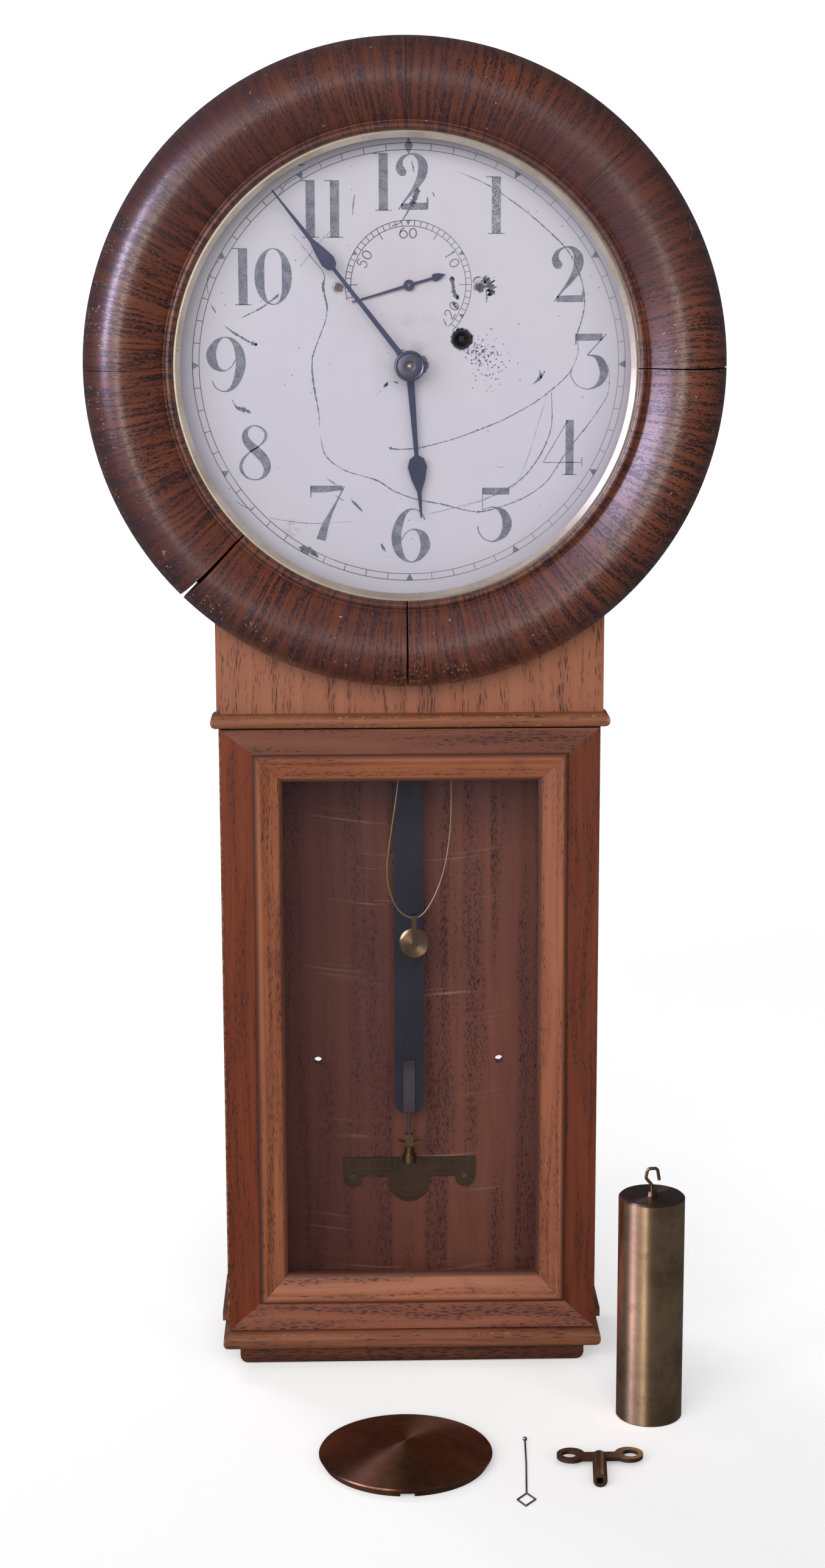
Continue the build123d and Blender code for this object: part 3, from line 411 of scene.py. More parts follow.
link(r.tree, r.math("MULTIPLY_ADD", pores, 0.25, r.math("MULTIPLY_ADD", fibre, 0.12, 0.30)),
     out["Roughness"])
link(r.tree, r.math("SUBTRACT", r.times(fibre, 0.25), pores), out["Height"])

# Varnish and stain rub off along the arrises, and nicks show the pale wood underneath.
wear, r, given, out = new_group("edge_wear", [
    ("Place", "Vector", None), ("Low", "Vector", (-1, -1, -1)), ("High", "Vector", (1, 1, 1)),
    ("Width", "Float", 0.0025), ("Amount", "Float", 0.6)], [("Mask", "Float")])
to_low = r.vector("ABSOLUTE", r.vector("SUBTRACT", given["Place"], given["Low"]))
to_high = r.vector("ABSOLUTE", r.vector("SUBTRACT", given["High"], given["Place"]))
a, b, c = r.parts(r.vector("MINIMUM", to_low, to_high))[:3]
least = r.math("MINIMUM", r.math("MINIMUM", a, b), c)
most = r.math("MAXIMUM", r.math("MAXIMUM", a, b), c)
middle = r.math("SUBTRACT", r.math("SUBTRACT", r.math("ADD", r.math("ADD", a, b), c), least),
                most)
ragged = r.noise(given["Place"], 260.0, 4.0, 0.7)
reach = r.times(given["Width"], r.ramp(ragged, 0.42, 0.68))
link(r.tree, r.math("MULTIPLY", r.ramp(r.math("DIVIDE", middle, r.math("ADD", reach, 1e-5)),
                                       1.3, 0.5), given["Amount"], clamp=True), out["Mask"])


def oak_finish(name, grain, pale, deep, pore=(0.018, 0.011, 0.012), length=0.009,
               width=0.0014, share=0.5, band=0.012, worn=None, shift=0.0, gloss=0.18,
               relief=0.0003):
    """Oak with its grain along one axis, and worn edges where a box of edges is given."""
    material, r, shader = new_finish(name, Roughness=0.4, Coat_Roughness=0.28)
    shader.inputs["Coat Weight"].default_value = gloss
    shader.inputs["Coat Tint"].default_value = (0.93, 0.92, 1.0, 1)
    shader.inputs["Specular IOR Level"].default_value = 0.22
    if grain == "UV":
        x, y, z = r.parts(r.place("UV"))[:3]
        along = r.join(y, shift, x)
    else:
        x, y, z = r.parts(r.vector("ADD", r.place(), (shift, shift, shift)))[:3]
        along = {"X": r.join(z, y, x), "Z": r.join(x, y, z), "Y": r.join(x, z, y)}[grain]
    grain_out = r.use(oak, Along=along, Pale=pale, Deep=deep, Pore=pore, Pore_Length=length,
                      Pore_Width=width, Pore_Share=share, Band_Width=band)
    colour = grain_out["Color"]
    if worn:
        low, high = worn
        mask = r.use(wear, Place=r.place(), Low=tuple(low), High=tuple(high))["Mask"]
        colour = r.mix(mask, colour, (0.42, 0.24, 0.14))
    r.dress(shader, colour, grain_out["Roughness"], r.bump(grain_out["Height"], 0.5, relief))
    return material


def coloured(material):
    """A finish's recipe and shader, and its colour so far, to lay another over it."""
    r = Recipe(material.node_tree)
    shader = r.tree.nodes["Principled BSDF"]
    return r, shader, shader.inputs["Base Color"].links[0].from_socket


# ---- case
# Sides, top, base and backboard of solid oak boards, nailed and glued; the front edge is
# hidden by the door, and the neck board fills in below the round bezel.
CASE_PALE, CASE_DEEP = (0.190, 0.062, 0.030), (0.085, 0.026, 0.014)
for side in ("case_side_left", "case_side_right"):
    paint(side, oak_finish(side + "_oak", "Z", CASE_PALE, CASE_DEEP, worn=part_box(side),
                           shift=0.3 if side.endswith("left") else 0.8))
for node, grain in (("top_board", "X"), ("base_block", "X"), ("seat_board", "X")):
    paint(node, oak_finish(node + "_oak", grain, CASE_PALE, CASE_DEEP, shift=0.45))
paint("base_nosing", oak_finish("nosing_oak", "X", (0.26, 0.095, 0.045), (0.13, 0.042, 0.02),
                                length=0.014, worn=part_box("base_nosing"), shift=0.2))
paint("base_coves", oak_finish("cove_oak", "Y", (0.24, 0.085, 0.04), (0.12, 0.04, 0.02)))
paint("bead_strip", oak_finish("bead_oak", "X", (0.27, 0.10, 0.045), (0.13, 0.042, 0.02),
                               length=0.014, worn=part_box("bead_strip"), shift=0.7))
paint("dial_board", oak_finish("dial_board_oak", "X", CASE_PALE, CASE_DEEP, shift=0.5))
paint("neck_board", oak_finish("neck_oak", "Z", (0.325, 0.125, 0.066), (0.235, 0.082, 0.042),
                               length=0.011, width=0.0008, share=0.5, band=0.011))
backboard_oak = oak_finish("backboard_oak", "Z", (0.235, 0.086, 0.052), (0.160, 0.057, 0.040),
                           length=0.0045, width=0.0008, share=0.5, band=0.014, gloss=0.1)
paint("backboard", backboard_oak)
# the swinging bob and the pulley have rubbed pale level streaks across it
r, shader, plain = coloured(backboard_oak)
x, y, z = r.parts(r.place())[:3]
bent = r.math("MULTIPLY_ADD", r.times(x, x), -1.2, z)
rubbed = r.noise(r.join(r.times(x, 14.0), 0.0, r.times(bent, 480.0)), 1.0, 3.0)
levels = r.ramp(r.noise(r.join(r.times(x, 5.0), 3.0, r.times(bent, 42.0)), 1.0, 2.0), 0.56,
                0.66)
streaks = r.times(r.ramp(rubbed, 0.50, 0.72), levels)
streaks = r.times(streaks, r.ramp(r.math("ABSOLUTE", x), 0.080, 0.055))
scores = r.ramp(r.noise(r.join(r.times(x, 900.0), 0.0, r.times(z, 6.0)), 1.0, 1.0), 0.78, 0.81)
marked = r.math("MAXIMUM", r.times(streaks, 0.55), r.times(scores, 0.4))
# painted shade: the left part of the backboard is darkened where the case's left side shades it
painted_left_shade = r.ramp(r.math("ADD", x, r.times(r.noise(r.place(), 9.0, 2.0), 0.06)), 0.075, -0.035)
plain = r.mix(r.times(painted_left_shade, 0.55), plain, (0.085, 0.032, 0.026))
r.dress(shader, r.mix(marked, plain, (0.44, 0.30, 0.22)))

# ---- trunk door
# Oak frame, mitred at the corners, with a bolection moulding planted inside it.
paint("door_stile_left", oak_finish("stile_left_oak", "Z", (0.175, 0.038, 0.012),
                                    (0.110, 0.022, 0.008), share=0.44, length=0.007, width=0.001,
                                    band=0.006, shift=0.12))
paint("door_stile_right", oak_finish("stile_right_oak", "Z", (0.155, 0.038, 0.016),
                                     (0.095, 0.022, 0.010), share=0.44, length=0.007, width=0.001,
                                     band=0.006, shift=0.61))
for rail in ("door_rail_top", "door_rail_bottom"):
    # painted light and shade: the same oak is painted lighter on the bottom rail and darker on the
    # top rail
    painted_light_level = 0.86 if rail.endswith("top") else 1.4
    paint(rail, oak_finish(rail + "_oak", "X", (0.215 * painted_light_level, 0.076 * painted_light_level, 0.045 * painted_light_level),
                           (0.125 * painted_light_level, 0.043 * painted_light_level, 0.026 * painted_light_level),
                           length=0.006, width=0.0008, share=0.52, band=0.010,
                           shift=0.33 if rail.endswith("top") else 0.93))


def smooth_line(points, steps=8):
    """Catmull-Rom curve: each span is the cubic blend of its four nearest points."""
    p = np.asarray(points, float)
    p = np.vstack([2 * p[0] - p[1], p, 2 * p[-1] - p[-2]])
    t = np.linspace(0, 1, steps, endpoint=False)[None, :, None]
    a, b, c, d = (p[i:len(p) - 3 + i, None] for i in range(4))
    curve = 0.5 * (2 * b + (c - a) * t + (2 * a - 5 * b + 4 * c - d) * t ** 2
                   + (3 * b - a - 3 * c + d) * t ** 3)
    return np.vstack([curve.reshape(-1, p.shape[1]), p[-2]])


def lengths_along(points):
    """Distance run from the first point to each point of a line."""
    steps = np.linalg.norm(np.diff(points, axis=0), axis=1)
    return np.concatenate([[0.0], np.cumsum(steps)])


def outward(points, polygons, uv):
    """Turns every polygon round if the solid they close has a negative volume."""
    volume = 0.0
    for p in polygons:
        for k in range(1, p.shape[1] - 1):
            a, b, c = points[p[:, 0]], points[p[:, k]], points[p[:, k + 1]]
            volume += np.einsum("ij,ij->", a, np.cross(b, c))
    if volume > 0:
        return polygons, uv
    return [p[:, ::-1] for p in polygons], [q[:, ::-1] for q in uv]


def swept(rows, u):
    """Closed solid from rows (n, loop, 3) of points, each row one loop of its section.

    The corner map is (distance along the rows, distance round the loop).
    """
    n, loop = rows.shape[:2]
    points = rows.reshape(-1, 3)
    sides = grid(n, loop, wrap=True)
    v = lengths_along(np.vstack([rows[0], rows[0][:1]]))
    i, j = sides[:, 0] // loop, sides[:, 0] % loop
    side_uv = np.stack([np.stack([u[i], v[j]], -1), np.stack([u[i + 1], v[j]], -1),
                        np.stack([u[i + 1], v[j + 1]], -1), np.stack([u[i], v[j + 1]], -1)], 1)
    first, last = np.arange(loop)[None], (np.arange(loop) + (n - 1) * loop)[None, ::-1]
    cap_uv = [np.stack([np.full(loop, u[0]), v[:-1]], -1)[None],
              np.stack([np.full(loop, u[-1]), v[:-1][::-1]], -1)[None]]
    polygons, uv = outward(points, [sides, first[:, ::-1], last[:, ::-1]],
                           [side_uv, cap_uv[0][:, ::-1], cap_uv[1][:, ::-1]])
    return points, polygons, uv


def add_solids(name, body, material, solids):
    """One piece from several (points, polygons, uv) solids."""
    points, polygons, uv, start = [], [], [], 0
    for p, faces, maps in solids:
        points.append(p)
        polygons += [f + start for f in faces]
        uv += [m.reshape(-1, 2) for m in maps]
        start += len(p)
    return add_piece(name, body, material, np.vstack(points), *polygons, uv=np.vstack(uv))



# Each moulding is one section carried along its side of the opening, cut at the mitres:
# z = low + inset at one end and high - inset at the other, at each point of the section.
IN_HALF_W, IN_LOW_Z, IN_TOP_Z = 0.1074, 0.0481, 0.4431
ogee = smooth_line([(0.0, -1.2), (0.6, -2.3), (1.8, -2.9), (3.4, -3.0), (5.4, -2.4),
                    (7.4, -0.9), (11.5, 1.2), (16, 3.1), (18.4, 4.2), (19.6, 4.9)], 3)
section = np.vstack([[(0, 14)], ogee, [(20, 5.6), (20, 9.6), (15, 9.6), (15, 14)]]) * MM
inset, depth = section[:, 0], section[:, 1]
MITRE_GAP = 0.00012
lengths = []
for side in ("left", "right", "bottom", "top"):
    rows = []
    if side in ("left", "right"):
        sign = -1 if side == "left" else 1
        for z in (IN_LOW_Z + inset + MITRE_GAP, IN_TOP_Z - inset - MITRE_GAP):
            rows.append(np.stack([sign * (IN_HALF_W - inset), FACE_Y + depth, z], -1))
    else:
        z = IN_LOW_Z + inset if side == "bottom" else IN_TOP_Z - inset
        for x in (-IN_HALF_W + inset + MITRE_GAP, IN_HALF_W - inset - MITRE_GAP):
            rows.append(np.stack([x, FACE_Y + depth, z], -1))
    offset = 0.7 * len(lengths)
    low_u = IN_LOW_Z if side in ("left", "right") else -IN_HALF_W
    high_u = IN_TOP_Z if side in ("left", "right") else IN_HALF_W
    lengths.append(swept(np.array(rows), np.array([low_u, high_u]) + offset))
moulding_oak = oak_finish("moulding_oak", "UV", (0.345, 0.120, 0.056), (0.205, 0.062, 0.027),
                          share=0.46, length=0.007, width=0.0009, band=0.010, gloss=0.25)
mouldings = add_solids("door_moulding_lengths", "door", moulding_oak, lengths)
# painted shade darkens the quirks at both edges of the moulding, by the frame and by the glass, and
# random dark blotches lie across it
r, shader, plain = coloured(moulding_oak)
x, y, z = r.parts(r.place())[:3]
from_sides = r.math("SUBTRACT", IN_HALF_W, r.math("ABSOLUTE", x))
from_ends = r.math("MINIMUM", r.math("SUBTRACT", IN_TOP_Z, z), r.math("SUBTRACT", z, IN_LOW_Z))
inward = r.math("MINIMUM", from_sides, from_ends)
quirk_shade_and_blotches = r.math("MAXIMUM", r.ramp(inward, 0.0040, 0.0014), r.ramp(inward, 0.0160, 0.0186))
quirk_shade_and_blotches = r.math("MAXIMUM", quirk_shade_and_blotches, r.times(r.ramp(r.noise(r.place(), 38.0, 4.0), 0.55, 0.75), 0.35))
r.dress(shader, r.mix(r.times(quirk_shade_and_blotches, 0.8), plain, (0.050, 0.018, 0.013)))
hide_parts("door_mouldings")

# ---- bezel
# Eight blocks of oak glued end to end, turned to an ogee with a bead round the glass, and
# veneered so that the grain runs outwards. It is dark with fume and old varnish. The glue
# has let go at the bottom, left and right, so some joints stand open.
RING_X, RING_Z = -0.0026, DIAL_Z - 0.0016
RING_EDGES, RING_MIDDLE = (0.148, 0.216), 0.185     # radii
JOINTS = ((0.0, 0.2, 0.3), (1.5, 0.2, 0.3), (3.0, 0.8, 1.1), (4.5, 0.2, 0.4),
          (6.0, 0.8, 1.7), (7.5, 0.9, 3.4), (9.0, 0.2, 0.4), (10.5, 0.2, 0.3))
bead = smooth_line([(152, -22.5), (152.7, -25.0), (154.8, -26.2), (156.9, -25.2),
                    (157.8, -22.8)], 5)
slope = smooth_line([(158.5, -22.8), (161.5, -25.6), (165, -28.5), (172, -33.6), (178, -36.6),
                     (184, -38.0), (189.8, -37.4), (196, -34.6), (201.4, -29.6),
                     (206.2, -22.4), (209.8, -13.2), (212, -4), (212.6, 1.5)], 5)
section = np.vstack([[(152, 6.9)], bead, slope, [(211.7, 6.9)]]) * MM
radius, depth = section[:, 0], section[:, 1]
share = np.linspace(0, 1, 34)[:, None]
blocks = []
for k, (hour, inner, outer) in enumerate(JOINTS):
    inner_b, outer_b = JOINTS[(k + 1) % 8][1:]
    # a joint's edge lies half its gap from the radial line, and the gap widens outwards
    open_a = np.interp(radius, RING_EDGES, (inner * MM / 2, outer * MM / 2))
    open_b = np.interp(radius, RING_EDGES, (inner_b * MM / 2, outer_b * MM / 2))
    start = hour * TAU / 12 + np.arcsin(open_a / radius)
    stop = (hour * TAU / 12 + TAU / 8) - np.arcsin(open_b / radius)
    angle = start + (stop - start) * share
    rows = np.stack([RING_X + radius * np.sin(angle), np.broadcast_to(FACE_Y + depth, angle.shape),
                     RING_Z + radius * np.cos(angle)], -1)
    round_u = (hour * TAU / 12 + TAU / 8 * share[:, 0]) * RING_MIDDLE
    solid, faces, maps = swept(rows, round_u)
    blocks.append((solid, faces, [m[..., ::-1] for m in maps]))

bezel_oak, r, shader = new_finish("bezel_oak", Coat_Weight=0.62, Coat_Roughness=0.38)
shader.inputs["Specular IOR Level"].default_value = 0.25
outwards, round_way = r.parts(r.place("UV"))[:2]
lean = r.noise(r.place(), 12.0, 2.0)
grain = r.use(oak, Along=r.join(r.math("MULTIPLY_ADD", lean, 0.010, round_way), 0.0, outwards),
              Pale=(0.140, 0.039, 0.016), Deep=(0.078, 0.021, 0.014),
              Pore=(0.010, 0.006, 0.009), Pore_Length=0.0029, Pore_Width=0.0008,
              Pore_Share=0.74, Band_Width=0.0030)
warm = r.ramp(r.noise(r.place(), 7.0, 3.0), 0.42, 0.66)
colour = r.mix(r.times(warm, 0.5), grain["Color"], (0.060, 0.022, 0.022))
# growth lines of the block show as fine hoops on the outer slope
hoops = r.math("SINE", r.times(r.math("MULTIPLY_ADD", lean, 0.006, outwards), 4300.0))
hoops = r.times(r.ramp(hoops, 0.1, 0.9), r.ramp(outwards, 0.085, 0.102))
colour = r.mix(r.times(hoops, 0.62), colour, (0.024, 0.010, 0.010))
# wax and dust have filled the pores low on the left
x, y, z = r.parts(r.place())[:3]
low_left = r.times(r.ramp(r.math("ADD", x, r.times(z, 0.9)), 0.58, 0.46),
                   r.ramp(outwards, 0.070, 0.094))
fleck_place = r.join(r.times(round_way, 560.0), 0.0, r.times(outwards, 230.0))
flecks = r.ramp(r.cells(fleck_place, 1.0), 0.34, 0.2)
flecks = r.times(flecks, r.ramp(r.noise(r.place(), 55.0, 2.0), 0.5, 0.6))
colour = r.mix(r.times(flecks, low_left, 0.8), colour, (0.42, 0.25, 0.15))
chips = r.times(r.ramp(r.noise(r.place(), 300.0, 3.0), 0.70, 0.74),
                r.ramp(r.noise(r.place(), 25.0, 2.0), 0.52, 0.6))
colour = r.mix(r.times(chips, 0.75), colour, (0.5, 0.40, 0.36))
r.dress(shader, colour, grain["Roughness"], r.bump(grain["Height"], 0.55, 0.0004))
bezel = add_solids("bezel_ring_blocks", "bezel", bezel_oak, blocks)
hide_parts("bezel_segments")

# ---- metals
# Brass left to tarnish brown, steel parts blued or grey.
def metal_finish(name, bright, dull, rough, brush=(1, 1, 1), brush_scale=600.0, spots=0.5,
                 metallic=1.0):
    """Metal whose tarnish follows soft clouds, with fine tool marks across the brush axis."""
    material, r, shader = new_finish(name, Metallic=metallic, Roughness=rough)
    place = r.place()
    clouds = r.noise(place, 28.0, 5.0, 0.6)
    marks = r.noise(r.vector("MULTIPLY", place, brush), brush_scale, 2.0)
    specks = r.ramp(r.noise(place, 420.0, 2.0), 0.66, 0.74)
    colour = r.mix(r.ramp(clouds, 0.35, 0.7), bright, dull)
    colour = r.mix(r.times(specks, spots), colour, tuple(0.35 * v for v in dull))
    r.dress(shader, colour, r.math("MULTIPLY_ADD", clouds, 0.25,
                                   r.math("MULTIPLY_ADD", marks, 0.12, rough - 0.18)),
            r.bump(marks, 0.25, 0.0001))
    return material


brass = metal_finish("old_brass", (0.55, 0.38, 0.18), (0.30, 0.19, 0.09), 0.38)
dark_brass = metal_finish("dark_brass", (0.34, 0.225, 0.125), (0.17, 0.115, 0.07), 0.4)
steel = metal_finish("grey_steel", (0.42, 0.41, 0.42), (0.25, 0.24, 0.25), 0.36)
blued = metal_finish("blued_steel", (0.080, 0.090, 0.150), (0.055, 0.062, 0.110), 0.42,
                     metallic=0.6)
polished = metal_finish("rubbed_brass", (0.86, 0.77, 0.62), (0.66, 0.56, 0.42), 0.34)
dark_iron_and_hole_shade = metal_finish("dark_iron_and_hole_shade", (0.040, 0.042, 0.065), (0.020, 0.020, 0.030), 0.36,
                         metallic=0.7)
for node in ("hanger_plate", "door_catch", "bezel_hinge_case_leaf", "bezel_hinge_leaf",
             "movement_front_plate", "movement_back_plate", "plate_pillars",
             "suspension_cock", "cable_anchor", "centre_wheel", "hour_wheel", "minute_wheel",
             "third_wheel", "escape_wheel", "great_wheel", "bob_seat",
             "rating_nut"):
    paint(node, brass)
paint("sight_ring", polished)
paint("winding_grommet", dark_iron_and_hole_shade)
# painted shade: the winding drum takes this dark finish so that the winding hole looks dark inside
paint("winding_drum", dark_iron_and_hole_shade)
paint("rod_tip_and_screw", metal_finish("brown_steel", (0.115, 0.095, 0.095),
                                        (0.065, 0.052, 0.055), 0.42, metallic=0.5))
for node in ("beat_scale", "winding_key", "pulley_yoke", "weight_hook"):
    paint(node, dark_brass)
paint("round_head_screws", metal_finish("rusty_screws", (0.20, 0.155, 0.13),
                                        (0.085, 0.055, 0.045), 0.5, metallic=0.6))
for node in ("suspension_spring", "verge_and_crutch", "ratchet_click",
             "door_pivot_pins", "loop_wire"):
    paint(node, steel)
for node in ("hour_hand", "minute_hand", "seconds_hand"):
    paint(node, blued)


def turned_metal(name, bright, dull, rough, spread, axis="Z", dark_above=None):
    """Lathe-turned brass: marks run round an axis, so highlights spread across them."""
    material, r, shader = new_finish(name, Metallic=1.0)
    shader.inputs["Anisotropic"].default_value = spread
    shader.inputs["Anisotropic Rotation"].default_value = 0.25
    tangent = r.tree.nodes.new("ShaderNodeTangent")
    tangent.direction_type, tangent.axis = "RADIAL", axis
    link(r.tree, tangent.outputs[0], shader.inputs["Tangent"])
    place = r.place()
    clouds = r.noise(place, 22.0, 5.0, 0.65)
    runs = r.noise(r.vector("MULTIPLY", place, (160.0, 160.0, 7.0)), 1.0, 3.0)
    stains = r.ramp(r.noise(place, 60.0, 5.0, 0.7), 0.56, 0.7)
    colour = r.mix(r.ramp(clouds, 0.36, 0.68), bright, dull)
    colour = r.mix(r.times(r.ramp(runs, 0.45, 0.75), 0.35), colour, dull)
    colour = r.mix(r.times(stains, 0.35), colour, tuple(0.4 * v for v in dull))
    if dark_above:
        height = r.parts(place)[2]
        colour = r.mix(r.times(r.ramp(height, dark_above, dark_above + 0.0006), 0.8), colour,
                       (0.10, 0.07, 0.06))
    r.dress(shader, colour, r.math("MULTIPLY_ADD", clouds, 0.28, rough - 0.14))
    return material


paint("weight", turned_metal("weight_brass", (0.76, 0.53, 0.31), (0.42, 0.27, 0.155),
                             0.36, 0.8, dark_above=0.1555))
paint("pulley_sheave", turned_metal("sheave_brass", (0.62, 0.42, 0.24), (0.30, 0.19, 0.11),
                                    0.34, 0.7, axis="Y"))
paint("pendulum_bob", turned_metal("bob_brass", (0.30, 0.155, 0.085), (0.15, 0.072, 0.038),
                                   0.40, 0.8))
paint("pendulum_rod", metal_finish("black_rod_paint", (0.020, 0.020, 0.034),
                                   (0.012, 0.012, 0.021), 0.5, metallic=0.0))

# ---- dial
# Zinc sheet sprayed white and printed in slate-blue ink. The paint has yellowed round the
# seconds circle, flaked to the grey undercoat, and rusted beside its screws.
SCREW_X, SCREW_Z = 0.0465, DIAL_Z + 0.0505
HOLE = (34.8, 16.8)             # mm from the dial's centre


def near(r, place, spot, inside, outside):
    """1 within a distance of a spot on the dial, falling to 0 at a larger distance."""
    x, _, z = r.parts(place)[:3]
    flat = r.join(x, 0.0, z)
    away = r.vector("DISTANCE", flat, (spot[0], 0.0, spot[1]), output=1)
    return r.ramp(away, outside, inside)


dial_paint, r, shader = new_finish("dial_paint", Roughness=0.5)
place = r.place()


def blot(under, ink, spot, inside, outside, scale, detail, low, high, share=1.0):
    """Lays a ragged spot of ink over the dial's colour so far."""
    ragged = r.ramp(r.noise(place, scale, detail), low, high)
    mask = r.times(near(r, place, spot, inside, outside), ragged, share)
    return r.mix(mask, under, ink)


clouds = r.noise(place, 9.0, 4.0)
colour = r.mix(r.ramp(clouds, 0.35, 0.7), (0.545, 0.525, 0.575), (0.52, 0.50, 0.56))
# warm paint above the hub, grime round it, a small stain low on the left
colour = blot(colour, (0.525, 0.478, 0.512), (0.0, DIAL_Z + 0.045), 0.015, 0.085,
              24.0, 4.0, 0.3, 0.75, 0.8)
colour = blot(colour, (0.34, 0.29, 0.29), (0.004, DIAL_Z + 0.008), 0.010, 0.034,
              70.0, 4.0, 0.45, 0.7, 0.55)
colour = blot(colour, (0.42, 0.36, 0.29), (-0.0785, DIAL_Z - 0.1080), 0.001, 0.009,
              260.0, 3.0, 0.35, 0.6, 0.8)
smudge = r.times(r.ramp(r.noise(place, 45.0, 5.0, 0.7), 0.62, 0.8), 0.25)
colour = r.mix(smudge, colour, (0.40, 0.37, 0.40))
# rust beside the screws, stray flecks, and the dark rim of the winding hole
for side in (-1, 1):
    colour = blot(colour, (0.10, 0.085, 0.085), (side * SCREW_X, SCREW_Z), 0.002, 0.0052,
                  700.0, 3.0, 0.42, 0.5)
stray = r.times(r.ramp(r.cells(place, 150.0), 0.085, 0.06),
                r.ramp(r.noise(place, 31.0, 1.0), 0.58, 0.6))
colour = r.mix(stray, colour, (0.20, 0.18, 0.22))
colour = blot(colour, (0.035, 0.034, 0.045), (HOLE[0] * MM, DIAL_Z + HOLE[1] * MM),
              0.0064, 0.0078, 900.0, 3.0, 0.4, 0.5)
r.dress(shader, colour, r.math("MULTIPLY_ADD", clouds, 0.15, 0.42),
        r.bump(r.noise(place, 520.0, 3.0), 0.12, 0.0001))
paint("dial", dial_paint)

# ---- dial printing
# Stout numerals with hairline thins, an outer track with a wedge at each hour, and a small
# seconds circle. Each stroke is a strip along a smooth line, as thick as the ink film.
INK_FRONT, INK_BACK = FACE_Y + 0.00716, FACE_Y + 0.0073


def strip(points, steps=6, front=INK_FRONT, back=INK_BACK, smooth=True):
    """Flat strip on the dial from (x, z, half width) points in mm from its centre.

    The line's two edges lie half a width to each side, square to its direction.
    """
    line = smooth_line(points, steps) if smooth else np.asarray(points, float)
    line = line * MM
    run = np.gradient(line[:, :2], axis=0)
    run /= np.linalg.norm(run, axis=1)[:, None] + 1e-12
    side = np.stack([-run[:, 1], run[:, 0]], -1) * line[:, 2:3]
    left, right = line[:, :2] + side, line[:, :2] - side
    rows = np.stack([np.stack([edge[:, 0], np.full(len(line), y), DIAL_Z + edge[:, 1]], -1)
                     for edge, y in ((left, front), (right, front), (right, back),
                                     (left, back))], 1)
    return swept(rows, lengths_along(line[:, :2]))


def at(points, x, z, turn=0.0, size=1.0):
    """Moves (x, z, half width) points to a place, turned clockwise by degrees."""
    c, n = math.cos(math.radians(turn)), math.sin(math.radians(turn))
    return [(x + size * (c * px + n * pz), z + size * (c * pz - n * px), size * w)
            for px, pz, w in points]


def bar(x0, z0, x1, z1, half):
    """Straight stroke of one width."""
    return [(x0, z0, half), (0.5 * (x0 + x1), 0.5 * (z0 + z1), half), (x1, z1, half)]


def oval(half_w, half_h, thick, thin):
    """Upright oval whose stroke is thick at the sides and thin at top and bottom."""
    a = np.linspace(0, TAU, 41)
    w = thin + (thick - thin) * np.abs(np.cos(a)) ** 1.6
    return np.stack([(half_w - w) * np.cos(a), (half_h - w) * np.sin(a), w], -1).tolist()


# strokes of each numeral, 36 mm tall, about its own middle
ONE = [bar(0, -18.2, 0, 18.4, 3.0), bar(-6.8, 18.1, -2, 18.1, 0.32),
       bar(-5.4, -18.2, 5.6, -18.2, 0.32)]
TWO = [[(-3.6, 5.6, 1.6), (-6.4, 6.6, 2.9), (-8.0, 10.2, 2.3), (-6.2, 15.0, 1.2),
        (-0.6, 17.8, 0.5), (4.4, 15.8, 1.8), (7.3, 10.6, 3.1), (6.4, 3.4, 2.9),
        (1.6, -4.6, 1.5), (-3.6, -11.0, 0.7), (-8.6, -17.6, 0.45)],
       [(-6.9, -15.9, 1.9), (0.5, -15.8, 2.2), (9.8, -15.7, 2.3)],
       [(10.2, -17.8, 0.5), (10.3, -13.0, 0.7), (10.4, -9.6, 0.2)]]
THREE = [[(-9.3, 15.9, 2.3), (0, 15.9, 2.3), (8.2, 16.0, 2.2)], bar(-9.4, 18.2, -9.4, 11.0, 0.4),
         bar(10.8, 18.0, -1.9, 3.9, 0.4),
         [(-1.4, 4.0, 0.25), (2.8, 3.6, 0.8), (7.0, 0.6, 2.4), (9.6, -6.4, 2.9),
          (7.6, -13.0, 2.0), (3.0, -17.0, 0.8), (-2.4, -18.1, 0.3), (-8.6, -15.4, 0.3),
          (-12.2, -9.6, 0.28), (-12.1, -5.8, 0.25), (-11.4, -3.4, 0.18)]]
FOUR = [bar(4.8, -18.2, 4.8, 18.2, 2.7), bar(3.6, 18.0, -12.8, -9.9, 0.28),
        bar(-12.8, -10, 13.0, -10, 0.28), bar(13.1, -6.6, 13.1, -13.2, 0.3),
        bar(0.0, -18.1, 9.8, -18.1, 0.3)]
FIVE = [[(-8.6, 15.8, 2.3), (0, 15.8, 2.3), (9.4, 15.8, 2.3)], bar(-8.5, 17.8, -8.5, 3.0, 0.25),
        [(-8.4, 3.2, 0.3), (-3.5, 5.0, 0.35), (1.2, 4.4, 0.9), (5.6, 1.0, 2.4),
         (8.0, -5.2, 3.2), (6.4, -12.0, 2.5), (2.2, -16.4, 1.1), (-2.4, -17.9, 0.4),
         (-7.6, -16.0, 0.4), (-10.9, -11.6, 0.4), (-11.8, -7.6, 0.4)]]
SIX = [[(9.4, 10.6, 0.35), (6.8, 15.4, 0.4), (1.6, 17.8, 0.4), (-3.4, 15.8, 1.3),
        (-7.4, 9.6, 2.6), (-9.8, -0.4, 3.3), (-8.4, -9.8, 2.8), (-4.4, -15.8, 1.3),
        (0.8, -17.7, 0.4), (5.8, -14.8, 1.6), (9.6, -7.4, 3.2), (8.2, -0.4, 2.8),
        (4.4, 3.4, 1.2), (0.4, 4.0, 0.4), (-3.6, 1.6, 0.35), (-6.4, -3.2, 0.35)]]
